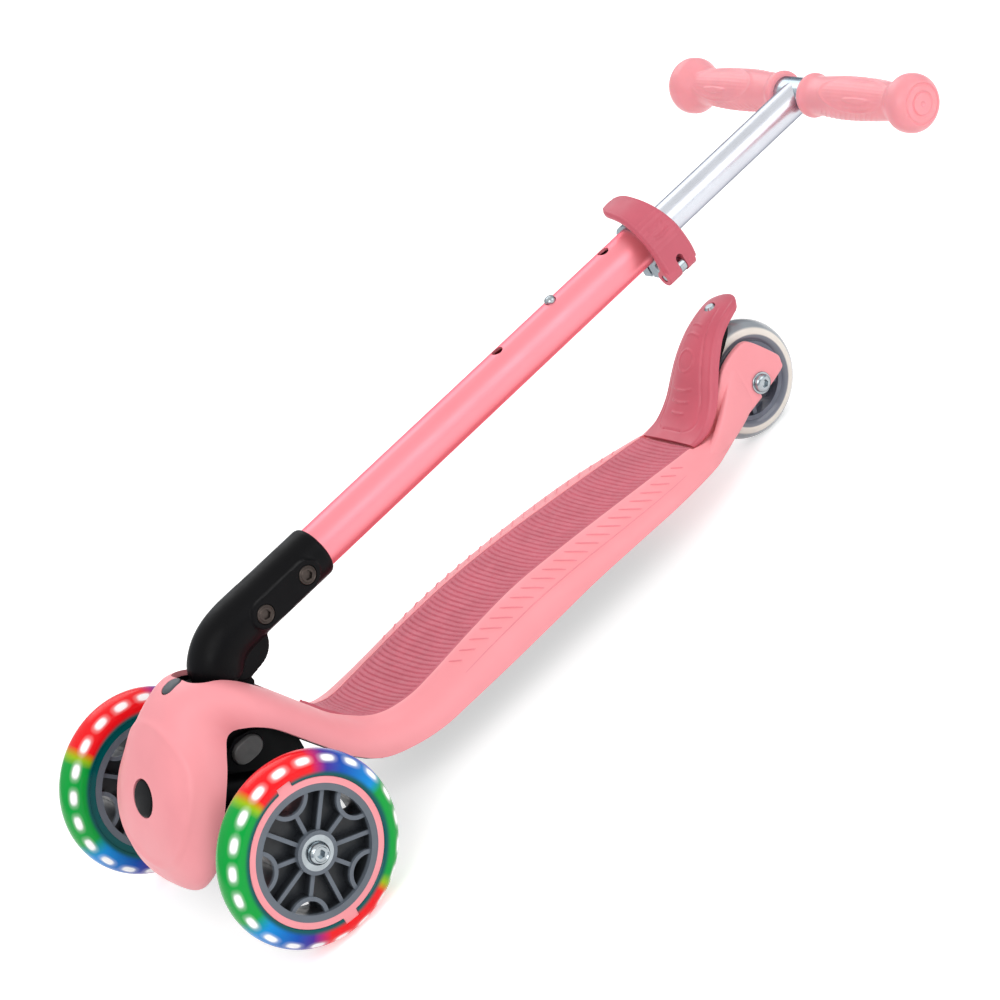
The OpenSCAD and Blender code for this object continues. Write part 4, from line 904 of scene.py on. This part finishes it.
class SCOOTER_OT_mat(bpy.types.Operator):
    """The dished foot mat with its fine cross ribs"""

    bl_idname = "scooter.mat"
    bl_label = "Foot mat"

    def execute(self, context):
        sizes = context.scene.scooter_sizes
        per = 60
        rows = spline(DECK, per)
        index = np.arange(len(rows))[:, None] / per
        rows, at = even(np.hstack([rows, index])[int(MAT_FROM * per) : int(MAT_TO * per) + 1], 0.42)
        # the mat's front end is rounded, with late from 0 to 1 over it; its ribs run in an arc, |u|^3 ahead at its
        # sides, where it curls up by |u|^4
        late = np.clip((rows[:, 7] - (MAT_TO - 1.8)) / 1.9, 0, 1)
        half = ((rows[:, 5] - 0.4) * np.sqrt(1 - late**2))[:, None]
        u = -np.cos(np.linspace(0, math.pi, 43))[None]
        phase = (at[:, None] + 3.2 * np.abs(u) ** 3) / mm(sizes.rib_pitch)
        rib = 0.5 + 0.5 * np.cos(2 * math.pi * phase)
        rib = np.where(rib > 0.35, 1.0, rib / 0.35) ** 0.8
        inside = step(1 - np.abs(u), 0.03, 0.09)
        n = 0.55 + 0.6 * np.abs(u) ** 4 + mm(sizes.rib_height) * (rib * inside + 0.35 * (1 - inside))
        up = rows[:, 0:2] - rows[:, 3:5]
        up = (up / np.linalg.norm(up, axis=1)[:, None])[:, None]
        place = rows[:, None, 0:2] + up * n[..., None]
        top = np.stack([place[..., 0], half * u, place[..., 1]], -1)
        under = rows[:, None, 0:2] + up * -0.4 * np.ones_like(u)[..., None]
        below = np.stack([under[..., 0], half * u, under[..., 1]], -1)[:, ::-1]
        mat = skin(np.concatenate([top, below], 1), "strip")
        piece("foot_mat", [mat], FINISH["mat"], "deck", ("deck_mat",), 30)
        return {"FINISHED"}


class SCOOTER_OT_nose_fittings(bpy.types.Operator):
    """The black cap on the nose, the steering lock button and the two push buttons"""

    bl_idname = "scooter.nose_fittings"
    bl_label = "Nose fittings"

    def execute(self, context):
        rim = [[9.7 + 2.1 * math.cos(a), 43.5 + 2.1 * math.sin(a)] for a in np.linspace(0, math.pi / 2, 7)]
        cap = [[0, 42.6], [11.9, 42.6]] + rim + [[6, 45.8], [3, 45.9], [0, 45.9]]
        dome = lathe(cap, steer(0), STEER_AXIS, 96)
        piece("nose_cap_dome", [dome], FINISH["black"], "deck", ("nose_cap",), 50)
        draws = [0, 0, 0.15, 0.45, 1.0, 1.9, 2.8, 3.5]
        lock = capsule(LOCK_FROM, LOCK_TO, LOCK_R, draws, [-0.4, 0.1, 0.4, 0.6, 0.72, 0.78, 0.8, 0.8])
        middle = (LOCK_FROM + LOCK_TO) / 2
        crest = crest_height(middle)
        stem = rod([middle, 0, crest - 10], [middle, 0, crest - 0.5], 2.8)
        piece("lock_dome", [lock, stem], FINISH["button"], "steer_lock", ("lock_button",), 50)
        # the push buttons: the outline drawn in by each share as it rises out of the nose's side
        outline = stadium(21, 14)
        level = np.ones(len(outline))
        shares = np.array([1, 1, 0.985, 0.95, 0.88, 0.75, 0.5, 0.25, 0.02])
        rises = np.array([25, 31.9, 32.5, 32.95, 33.2, 33.3, 33.36, 33.4, 33.4])
        for side, hand in HANDS:
            x, z = (middle + outline[:, k] * shares[:, None] for k, middle in enumerate((-25, 100)))
            dome = skin(np.stack([x, side * rises[:, None] * level, z], -1))
            name = "push_dome_" + hand
            piece(name, [dome], FINISH["push"], "push_" + hand, ("push_button_" + hand,), 50)
        return {"FINISHED"}


# ---------- wheels ----------
def hex_hole(centre, radius, deep, side=1):
    """A six-sided hole, sunk into a head whose middle is given."""
    a = np.arange(6) * math.pi / 3 + 0.2
    y = centre[1] + side * np.array([-deep, 6.0])
    return prism(np.stack([centre[0] + radius * np.cos(a), centre[2] + radius * np.sin(a)], 1), y.min(), y.max())


class SCOOTER_OT_wheels(bpy.types.Operator):
    """The lit front tyres, the clear rear tyre and the rings beside them"""

    bl_idname = "scooter.wheels"
    bl_label = "Wheels"

    def execute(self, context):
        self.lit_tyres()
        # dished button heads on the front axle, over the bearings' faces: a head and a hair in from the node's end
        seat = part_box("front_bolts")[1][1] / MM - 3.95
        head = [
            [0, 3.3], [4.4, 3.3], [4.9, 3.9], [5.5, 3.9], [6.4, 3.0], [7.0, 1.7], [7.3, 0.5], [7.3, 0], [4.0, 0],
            [4.0, -30], [0, -30],
        ]
        middles = [np.array([0, side * seat, FRONT_R]) for side in (-1, 1)]
        screws = raw("front_axle_screws", [lathe(head, m, np.sign(m[1]) * SIDE, 96) for m in middles])
        carve(screws, *[hex_hole(m + np.sign(m[1]) * 3.3 * SIDE, 3.0, 2.6, np.sign(m[1])) for m in middles])
        finish_piece(screws, FINISH["steel"], "truck", ("front_bolts",), 30)
        self.rear_wheel()
        return {"FINISHED"}

    def tread(self, wheel_r, round_r, half=12):
        """The rounded tread of a tyre as (R - r + r cos(t), half sin(t)), its radius and height."""
        t = np.linspace(math.pi / 2, -math.pi / 2, 33)
        return np.stack([wheel_r - round_r + round_r * np.cos(t), half * np.sin(t)], 1)

    def lit_tyres(self):
        """The front tyres, with a step inside that the light ring sits on and room for the ring's two tabs."""
        core, face = FRONT_R * 0.693, FRONT_R * 0.76 + 0.25
        inside = [[core, 9.1], [face, 9.1], [face, 10.9], [face + 0.5, 11.45]]
        outside = [[face + 0.5, -11.45], [face, -10.9], [face, -10.2], [core, -10.2]]
        profile = np.vstack([inside, self.tread(FRONT_R, 10), outside])
        for side, hand in HANDS:
            hub, away = np.array([0, side * HALF_TRACK, FRONT_R]), side * SIDE
            tyre = raw("tyre_" + hand + "_lit", [lathe(profile, hub, away, 192, closed=True)])
            for turn in np.radians((95.7, 275.3)):
                out = side * np.array([math.cos(turn), 0, math.sin(turn)])
                across = np.cross(SIDE, out)
                ends = ((41, -5.1), (50.3, -5.1), (50.3, 5.1), (41, 5.1))
                carve(tyre, box_of([hub + out * r + across * c + away * h for h in (8.9, 14) for r, c in ends]))
            finish_piece(tyre, FINISH["glow_" + hand], "wheel_" + hand, ("tyre_" + hand,), 35)

    def rear_wheel(self):
        """The rear tyre, and the axle's button heads, washers and shaft."""
        hub, rim = np.array([REAR_X, 0, REAR_R]), REAR_R * 0.66
        walls = [[rim, 10], [rim + 1.2, 11.2]], [[rim + 1.2, -11.2], [rim, -10]]
        profile = np.vstack([walls[0], self.tread(REAR_R, 9), walls[1]])
        tyre = lathe(profile, hub, SIDE, 160, closed=True)
        piece("rear_tyre_cast", [tyre], FINISH["cream"], "wheel_rear", ("rear_tyre",), 35)
        dome = [[0, -3], [4.0, -3], [4.0, 0], [6.0, 0], [6.0, 0.9], [5.6, 1.9], [4.7, 2.7], [3.7, 3.1], [0, 3.2]]
        washer = [[4.1, 0], [7.2, 0], [7.4, 0.2], [7.4, 1.0], [7.2, 1.2], [4.1, 1.2]]
        aways = [side * SIDE for side in (-1, 1)]
        axle = raw("rear_axle_heads", [lathe(dome, hub + 23.2 * away, away, 72) for away in aways])
        carve(axle, *[hex_hole(hub + 27.2 * away, 2.9, 2.8, away[1]) for away in aways])
        finish_piece(axle, FINISH["steel"], "deck", ("rear_axle_bolt", "rear_axle_nut"), 35)
        washers = [lathe(washer, hub + ARM_OUT * away, away, 72, closed=True) for away in aways]
        piece("rear_axle_washers", washers, FINISH["steel"], "deck", ("rear_washers",), 35)
        shaft = rod(hub - 21.9 * SIDE, hub + 21.9 * SIDE, 3.9)
        piece("rear_axle_shaft", [shaft], FINISH["steel"], "deck", ())


# ---------- brake ----------
class SCOOTER_OT_brake(bpy.types.Operator):
    """The brake pedal with its border line, cross bars and ring"""

    bl_idname = "scooter.brake"
    bl_label = "Brake pedal"

    def execute(self, context):
        sizes = context.scene.scooter_sizes
        rows, at = even(spline(PEDAL, 24), 0.7)
        inward, u = inward_of(rows), np.linspace(-1, 1, 73)[None]
        y = rows[:, 2:3] * u
        # the underside stands a wall further in than the top, whose side edges are rounded
        crown = rows[:, 3:4] * u**2
        edge = 1 - np.sqrt(np.clip(1 - np.clip((np.abs(u) - 0.93) / 0.07, 0, 1) ** 2, 0, 1))
        top = self.surface(rows, inward, y, crown - self.relief(rows, at, y) + 1.3 * edge)
        under = self.surface(rows, inward, y, crown + mm(sizes.pedal_wall) + 0 * u)[:, ::-1]
        pedal = raw("pedal", [skin(np.concatenate([top, under], 1), "strip")])
        rivet_x = REAR_X - 5.6
        carve(
            pedal,
            rod([rivet_x, 0, 95.0], [rivet_x, 0, 110.0], 4.2),
            rod([rivet_x, 0, 84], [rivet_x, 0, 100.0], 2.5),
        )
        finish_piece(pedal, FINISH["deep"], "brake", ("brake_pedal",), 40)
        knuckles = []
        x, z = PEDAL_PIN[0] - ORIGIN[0], PEDAL_PIN[2]
        for y in (-11, 11):
            knuckles.append(rod([x, y - 3, z], [x, y + 3, z], 4.6))
            knuckles.append(prism([[x - 3, z], [x + 3, z], [x + 3, z + 11], [x - 3, z + 11]], y - 3, y + 3))
        piece("pedal_knuckles", knuckles, FINISH["deep"], "brake", ())
        # painted shade: a black channel under the pedal, put where its underside lies in shade
        underside_shade = self.underside_shade(rows[int(0.30 * len(rows)) : int(0.80 * len(rows))])
        piece("brake_underside_shade", [underside_shade], FINISH["black"], "brake", ("brake_liner",), 40)
        return {"FINISHED"}

    def surface(self, rows, inward, y, depth):
        """The pedal's middle line moved inwards by a depth, at places across."""
        place = rows[:, None, 0:2] + inward * depth[..., None]
        return np.stack([REAR_X + place[..., 0], y, place[..., 1]], -1)

    def relief(self, rows, at, y):
        """Border line, side ridges, three bars, two ticks and a ring: soft bumps by their distances over the pedal."""
        s, end, half = at[:, None], at[-1], rows[:, 2:3]
        inner = half - 8.5
        corner = np.where(s < 17, np.sqrt(np.clip(100 - (17 - s) ** 2, 0, 100)) - 10, 0)
        line = np.abs(np.abs(y) - (inner + corner))
        relief = -0.5 * ridge(line, 0.65) * step(s, 6.4, 7.2) * step(end - 14 - s, 0, 8)
        relief = relief - 0.5 * ridge(s - 7.2, 0.65) * step(inner - 9.2 - np.abs(y), 0, 1.0)
        relief = relief + 0.5 * ridge(half - 2.4 - np.abs(y), 0.8) * step(s, 6, 16) * step(end - s, 2, 10)
        # place along the pedal, reach across it, bend and height
        bars = (18.5, 7.2, -0.018, 0.65), (26.0, 9.2, -0.018, 0.65), (34.0, 10.2, -0.018, 0.65)
        ticks = (72.0, 7.0, 0.03, 0.5), (79.0, 5.6, 0.03, 0.5)
        for along, reach, bend, tall in bars + ticks:
            relief = relief + tall * ridge(s - along + bend * y**2, 0.75) * step(reach - np.abs(y), 0, 1.2)
        return relief + 0.5 * ridge(np.hypot(s - 53.5, y) - 7.3, 0.75)

    def underside_shade(self, rows):
        """A black channel under the pedal, painted shade where the pedal's underside lies in shade. Its walls run out
        to nothing at both ends: their height is 8.5 sin(share)^0.5."""
        inward, u = inward_of(rows), np.linspace(-1, 1, 21)[None]
        wall = 8.5 * np.sqrt(np.clip(np.sin(math.pi * np.linspace(0, 1, len(rows))), 0, 1))[:, None]
        sides = []
        for half, gap in ((15.4, 0.05), (14.0, 1.4)):
            y = np.minimum(rows[:, 2:3] - 1.6, half) * u
            depth = rows[:, 3:4] * (y / rows[:, 2:3]) ** 2 + 3.2 + gap
            y = np.hstack([y[:, :1], y, y[:, -1:]])
            depth = np.hstack([depth[:, :1] + wall, depth, depth[:, -1:] + wall])
            sides.append(self.surface(rows, inward, y, depth))
        return skin(np.concatenate([sides[0], sides[1][:, ::-1]], 1), "strip")


# ---------- elbow, clamp and handlebar ----------
def hull_of(discs):
    """The skin stretched over discs, each given by x, z, radius and width across."""
    a = round_angles(48)
    points = np.vstack([
        np.stack([x + r * np.cos(a), np.full(len(a), y), z + r * np.sin(a)], 1)
        for x, z, r, w in discs for y in (-w / 2, w / 2)
    ])
    bm = bmesh.new()
    verts = [bm.verts.new(p) for p in points]
    bmesh.ops.convex_hull(bm, input=verts)
    bmesh.ops.delete(bm, geom=[v for v in bm.verts if not v.link_faces], context="VERTS")
    bm.verts.index_update()
    shape = (np.array([v.co for v in bm.verts]), [[v.index for v in f.verts] for f in bm.faces])
    bm.free()
    return shape


class SCOOTER_OT_elbow(bpy.types.Operator):
    """The black folding elbow: a sleeve, a leg that stands in the nose and a pad round the bolts, softened together"""

    bl_idname = "scooter.elbow"
    bl_label = "Folding elbow"

    def execute(self, context):
        pad_y = SLEEVE_R + 0.9
        start, end = 80.0, 142.5
        sleeve = [
            [0, start], [SLEEVE_R, start], [SLEEVE_R, end - 3], [SLEEVE_R - 0.6, end - 1.2], [SLEEVE_R - 2.0, end],
            [0, end],
        ]
        # the leg is an oval tube along its bend
        bend = spline(BEND, 6)
        a, lean = round_angles(64)[None], np.radians(bend[:, 2:3])
        out = bend[:, 3:4] * np.cos(a)
        x, z = bend[:, 0:1] + out * np.cos(lean), bend[:, 1:2] + out * np.sin(lean)
        leg = skin(np.stack([x, bend[:, 4:5] * np.sin(a), z], -1))
        web = hull_of([(FOLD_X, FOLD_Z, 10.5, 16), (FOLD_X - 8.5, FOLD_Z + 7.5, 16.5, 16)])
        bolts = [column(s, 0, 0) for s in (86, 122.3)]
        pad = hull_of([(b[0], b[2], 9.6, 2 * pad_y) for b in bolts])
        elbow = raw("elbow_moulding", [lathe(sleeve, [0, 0, COLUMN_Z], COLUMN_AXIS, 96), leg, web, pad])
        melt(elbow, 0.75, 7)
        # room for the nose's tongue: a round about the fold pin and a wedge below it
        tongue = 6.2
        angles = [math.radians(a) for a in (-100, -75, -50, -25, 0, 20)]
        wedge = [[FOLD_X, FOLD_Z]] + [[FOLD_X + 60 * math.cos(a), FOLD_Z + 60 * math.sin(a)] for a in angles]
        carve(
            elbow,
            rod(column(80, 0, 0), column(200, 0, 0), TUBE_R, 96),
            rod([FOLD_X, -tongue, FOLD_Z], [FOLD_X, tongue, FOLD_Z], 9.9, 64),
            prism(wedge, -tongue, tongue),
            *(rod(b + side * (pad_y - 2.0) * SIDE, b + side * 40 * SIDE, 6.5, 48) for b in bolts for side in (-1, 1)),
        )
        finish_piece(elbow, FINISH["black"], "stem", ("elbow",), 42)
        head = [
            [0, 0.3], [4.3, 0.3], [4.6, 0.0], [5.0, 0.0], [5.3, 0.3], [5.7, 0.25], [6.0, -0.1], [6.0, -1.6],
            [3.0, -1.6], [3.0, -34], [0, -34],
        ]
        screws = raw("elbow_screws", [lathe(head, b + pad_y * SIDE, SIDE, 72) for b in bolts])
        carve(screws, *[hex_hole(b + pad_y * SIDE, 3.3, 1.3) for b in bolts])
        finish_piece(screws, FINISH["bronze"], "stem", ("elbow_bolts",), 35)
        return {"FINISHED"}


class SCOOTER_OT_lever(bpy.types.Operator):
    """The curved clamp lever with its forked end and fine cross lines"""

    bl_idname = "scooter.lever"
    bl_label = "Clamp lever"

    def execute(self, context):
        sizes = context.scene.scooter_sizes
        blade, width = mm(sizes.blade) / 2, mm(sizes.lever_width) / 2
        rows, at = even(spline(LEVER, 16), 0.6)
        along, at = heading(rows), at[:, None]
        # the section x = blade |cos|^0.6, y = width |sin|^0.7 grows at the pivot and is drawn in at the tip
        a = round_angles(80)[None]
        out, over = soft(np.cos(a), 0.6), soft(np.sin(a), 0.7)
        left_over = at[-1] - at
        thin, round_tip = (
            np.sqrt(np.clip(1 - np.clip(1 - left_over / reach, 0, 1) ** 2, 0.02, 1)) for reach in (3.0, 12.0)
        )
        grow = 1 + 0.75 * (1 - step(at, 0, 17))
        # fine lines across it, two longer marks and a raised rim, all on its outer face
        lines = ridge((at % 3.4) - 1.7, 0.6) * step(at, 14, 20) * step(44 - at, 0, 8)
        marks = sum(ridge(at - 25 - gap - 6 * over**2, 0.85) * step(0.5 - np.abs(over), 0, 0.1) for gap in (0, 5.5))
        rim = ridge(np.abs(over) - 0.86, 0.07)
        face = (np.abs(over) < 0.9) * np.clip(np.sign(out), 0, 1)
        u = out * blade * thin * grow + (0.4 * lines + 0.9 * marks + 0.7 * rim * thin) * face
        v = over * rows[:, 2:3] * width * round_tip
        blade_skin = skin(column(CLAMP_S + v, rows[:, 0:1] - along[:, 1:2] * u, rows[:, 1:2] + along[:, 0:1] * u))
        barrel = rod(column(CLAMP_S - width, *PIVOT), column(CLAMP_S + width - 3.5, *PIVOT), 5.6, 64)
        lever = raw("lever_blade", [blade_skin, barrel])
        melt(lever, 0.38, 1)
        # the fork at the pivot: a slot with a round end, and the bore of the cam pin
        slot_r, slot_up, near, far = 2.9, -10.5, 14, 38
        corners = ((-29, near), (slot_up, near), (slot_up, far), (-29, far))
        slot = box_of([column(CLAMP_S + v, up, y) for v in (-slot_r, slot_r) for up, y in corners])
        slot_end = column(CLAMP_S, slot_up, 0)
        bore = [column(CLAMP_S + v, *PIVOT) for v in (-width - 2, width + 2)]
        carve(lever, slot, rod(slot_end + near * SIDE, slot_end + far * SIDE, slot_r), rod(*bore, 2.6))
        finish_piece(lever, FINISH["deep"], "lever", ("clamp_lever",), 45)
        return {"FINISHED"}


class SCOOTER_OT_grips(bpy.types.Operator):
    """The two soft grips with their fine pattern and ball ends"""

    bl_idname = "scooter.grips"
    bl_label = "Grips"

    def execute(self, context):
        rows, _ = even(spline(GRIP, 8), 0.5)
        profile = np.vstack([[[11.05, 6.0], [11.05, 0.0]], rows[:, ::-1], GRIP_FACE])
        for side, hand in HANDS:
            centre = column(BAR_REACH, 0, side * GRIP_START)
            grip = lathe(profile, centre, side * SIDE, 176, wobble=self.pattern(side))
            piece("grip_" + hand + "_soft", [grip], FINISH["grip"], "bar", ("grip_" + hand,), 50)
        return {"FINISHED"}

    def pattern(self, side):
        """Height of the relief by place along a grip and angle round it: on both faces a leaf-shaped outline over the
        palm, two bars inside it, slanting ribs below it and fine grain between."""

        def raised(h, a):
            front = np.arctan2(-np.sin(a), -side * np.cos(a))
            total = 0
            for middle in (0.9, 0.9 - math.pi):
                arc = 14.0 * ((front - middle + math.pi) % (2 * math.pi) - math.pi)
                leaf = np.hypot((h - 56) / 33, (arc + 4) / (13.5 + 0.06 * (h - 56)))
                bar = np.hypot((h - 61) / 13, (arc - 1.5 + 0.004 * (h - 61) ** 2) / 2.0)
                second = np.hypot((h - 63) / 13, (arc - 6.5 + 0.006 * (h - 63) ** 2) / 1.3)
                ribs = ridge(((h + 0.9 * arc) % 5.0) - 2.5, 0.8) * step(arc, 9, 11) * (1 - step(arc, 19, 21))
                ribs = ribs * step(h, 16, 22) * (1 - step(h, 70, 78))
                grain = np.cos(h * 2.3 + arc * 1.3) * np.cos(h * 2.3 - arc * 1.3) * (1 - step(leaf, 0.9, 0.97))
                total = total + 0.6 * ridge((leaf - 1) * 14, 0.8)
                total = total + 0.9 * (1 - step(bar, 0.75, 1.1)) + 0.6 * (1 - step(second, 0.7, 1.15))
                total = total + 0.4 * ribs + 0.1 * grain * (1 - step(-bar, -1.3, -1.0))
            return total * step(h, 7, 10) * (1 - step(h, 84, 88))

        return raised


class SCOOTER_OT_finishes(bpy.types.Operator):
    """Finishes for the CAD nodes whose shape is already right"""

    bl_idname = "scooter.finishes"
    bl_label = "Finishes"

    def execute(self, context):
        looks = {
            "black": "deck_frame nose_liner nose_core truck brake_pad fold_pin",
            "steel": "deck_screws king_bolt king_nut rear_spacers brake_pin front_spacers bearings_left bearings_right "
                     "sleeve_left sleeve_right rear_bearings rear_sleeve clamp_bolt clamp_nut cam_pin snap_button "
                     "brake_rivet",
            "bronze": "elbow_nuts",
            "nylon": "steer_bushes tube_bush",
            "rim_left": "hub_left",
            "rim_right": "hub_right",
            "rear_rim": "rear_hub",
            "shell": "ring_left ring_right",
            "lamp": "lights_left lights_right",
            "paint": "lower_tube",
            "tube": "upper_tube",
            "bar": "cross_tube",
            "collar": "clamp_collar",
        }
        for key, nodes in looks.items():
            dress(FINISH[key], *nodes.split())
        return {"FINISHED"}


# ---------- stage ----------
# the camera's place in metres, its turns in degrees and its lens in millimetres
CAMERA_PLACE = (0.8527, 1.8876, 1.1245)
CAMERA_TURN = (59.815, 27.360, 141.074)
CAMERA_LENS = 131.18
SENSOR = 36.0
# the floor's half size, and how bright the world is for what it lights, where the camera sees it at 1
FLOOR_REACH = 8.0
ROOM_LIGHT = 0.66


def lamp(name, place, power, size, aim=(0.0, 0.0, 0.08)):
    """A square lamp that faces the point it aims at."""
    data = bpy.data.lights.new(name, "AREA")
    data.energy, data.size = power, size
    obj = bpy.data.objects.new(name, data)
    bpy.context.scene.collection.objects.link(obj)
    obj.location = place
    obj.rotation_euler = (Vector(aim) - Vector(place)).to_track_quat("-Z", "Y").to_euler()


def seen(tree):
    """1 on rays from the camera, a mirror or glass, and 0 on the others."""
    path = tree.nodes.new("ShaderNodeLightPath")
    total = path.outputs["Is Camera Ray"]
    for key in ("Is Glossy Ray", "Is Transmission Ray"):
        add = tree.nodes.new("ShaderNodeMath")
        add.operation, add.use_clamp = "ADD", True
        tree.links.new(total, add.inputs[0])
        tree.links.new(path.outputs[key], add.inputs[1])
        total = add.outputs[0]
    return total


class SCOOTER_OT_stage(bpy.types.Operator):
    """A plain pale floor, soft lamps and the camera"""

    bl_idname = "scooter.stage"
    bl_label = "Stage"

    def execute(self, context):
        scene = context.scene
        camera = bpy.data.objects.new("camera", bpy.data.cameras.new("camera"))
        scene.collection.objects.link(camera)
        camera.location = CAMERA_PLACE
        camera.rotation_euler = Euler([math.radians(a) for a in CAMERA_TURN], "XYZ")
        camera.data.sensor_width, camera.data.lens = SENSOR, CAMERA_LENS
        camera.data.clip_start, camera.data.clip_end = 0.05, 60
        scene.camera = camera

        floor = bpy.data.objects.new("floor", bpy.data.meshes.new("floor"))
        corners = [(x * FLOOR_REACH, y * FLOOR_REACH, 0) for x, y in ((-1, -1), (1, -1), (1, 1), (-1, 1))]
        floor.data.from_pydata(corners, [], [(0, 1, 2, 3)])
        scene.collection.objects.link(floor)
        floor.data.materials.append(self.paper())

        scene.world = self.studio()
        lamp("key", (1.5, 1.6, 2.2), 25, 1.6)
        lamp("fill", (-1.4, 2.2, 1.3), 16, 1.8)
        lamp("back", (-0.8, -2.0, 1.8), 16, 1.8)
        scene.view_settings.view_transform = "Standard"
        return {"FINISHED"}

    def paper(self):
        """The floor's pale paper: matt, and half as bright again of itself where it is seen."""
        paper = bpy.data.materials.new("pale_paper")
        paper.use_nodes = True
        tree = paper.node_tree
        tree.nodes.clear()
        kinds = ("OutputMaterial", "BsdfDiffuse", "Emission", "Math", "AddShader")
        out, matt, glow, share, both = (tree.nodes.new("ShaderNode" + kind) for kind in kinds)
        matt.inputs["Color"].default_value = (0.86, 0.86, 0.86, 1)
        share.operation = "MULTIPLY"
        share.inputs[1].default_value = 0.5
        tree.links.new(seen(tree), share.inputs[0])
        tree.links.new(share.outputs[0], glow.inputs["Strength"])
        tree.links.new(matt.outputs[0], both.inputs[0])
        tree.links.new(glow.outputs[0], both.inputs[1])
        tree.links.new(both.outputs[0], out.inputs["Surface"])
        return paper

    def studio(self):
        """A white world. Mirrors see a soft studio: bright below and overhead, greyer in a belt above the horizon."""
        world = bpy.data.worlds.new("studio")
        world.use_nodes = True
        tree = world.node_tree
        ground = tree.nodes["Background"]
        kinds = ("LightPath", "TexCoord", "SeparateXYZ", "ValToRGB", "Mix", "MapRange")
        ray, place, split, belt, soft_white, level = (tree.nodes.new("ShaderNode" + kind) for kind in kinds)
        tree.links.new(place.outputs["Generated"], split.inputs[0])
        marks = belt.color_ramp.elements
        for at, grey in ((0.06, (0.42, 0.45, 0.5)), (0.3, (0.62, 0.66, 0.72)), (0.62, (0.95, 0.95, 0.95))):
            marks.new(at).color = grey + (1,)
        marks[0].color, marks[-1].color = (1, 1, 1, 1), (1, 1, 1, 1)
        tree.links.new(split.outputs[2], belt.inputs[0])
        soft_white.data_type = "RGBA"
        tree.links.new(ray.outputs["Is Glossy Ray"], soft_white.inputs[0])
        soft_white.inputs[6].default_value = (1, 1, 1, 1)
        tree.links.new(belt.outputs["Color"], soft_white.inputs[7])
        tree.links.new(soft_white.outputs[2], ground.inputs["Color"])
        level.inputs["To Min"].default_value, level.inputs["To Max"].default_value = ROOM_LIGHT, 1.0
        tree.links.new(seen(tree), level.inputs["Value"])
        tree.links.new(level.outputs["Result"], ground.inputs["Strength"])
        return world


OPERATORS = (
    SCOOTER_OT_stage, SCOOTER_OT_finishes, SCOOTER_OT_deck, SCOOTER_OT_dashes, SCOOTER_OT_mat,
    SCOOTER_OT_nose_fittings, SCOOTER_OT_wheels, SCOOTER_OT_brake, SCOOTER_OT_elbow, SCOOTER_OT_lever,
    SCOOTER_OT_grips,
)


class SCOOTER_PT_panel(bpy.types.Panel):
    """Sizes, colours and the steps that make each piece"""

    bl_idname = "SCOOTER_PT_panel"
    bl_label = "Folding kick scooter"
    bl_space_type = "VIEW_3D"
    bl_region_type = "UI"
    bl_category = "Scooter"

    def draw(self, context):
        for group in (context.scene.scooter_sizes, context.scene.scooter_looks):
            box = self.layout.box()
            for key in group.__annotations__:
                box.prop(group, key)
        for operator in OPERATORS:
            self.layout.operator(operator.bl_idname)


CLASSES = (ScooterSizes, ScooterLooks) + OPERATORS + (SCOOTER_PT_panel,)


def register():
    for cls in CLASSES:
        bpy.utils.register_class(cls)
    bpy.types.Scene.scooter_sizes = PointerProperty(type=ScooterSizes)
    bpy.types.Scene.scooter_looks = PointerProperty(type=ScooterLooks)


def unregister():
    del bpy.types.Scene.scooter_looks
    del bpy.types.Scene.scooter_sizes
    for cls in reversed(CLASSES):
        bpy.utils.unregister_class(cls)


def main():
    register()
    FINISH.update(make_finishes(bpy.context.scene.scooter_looks))
    for operator in OPERATORS:
        group, name = operator.bl_idname.split(".")
        getattr(getattr(bpy.ops, group), name)()


if __name__ == "__main__":
    main()
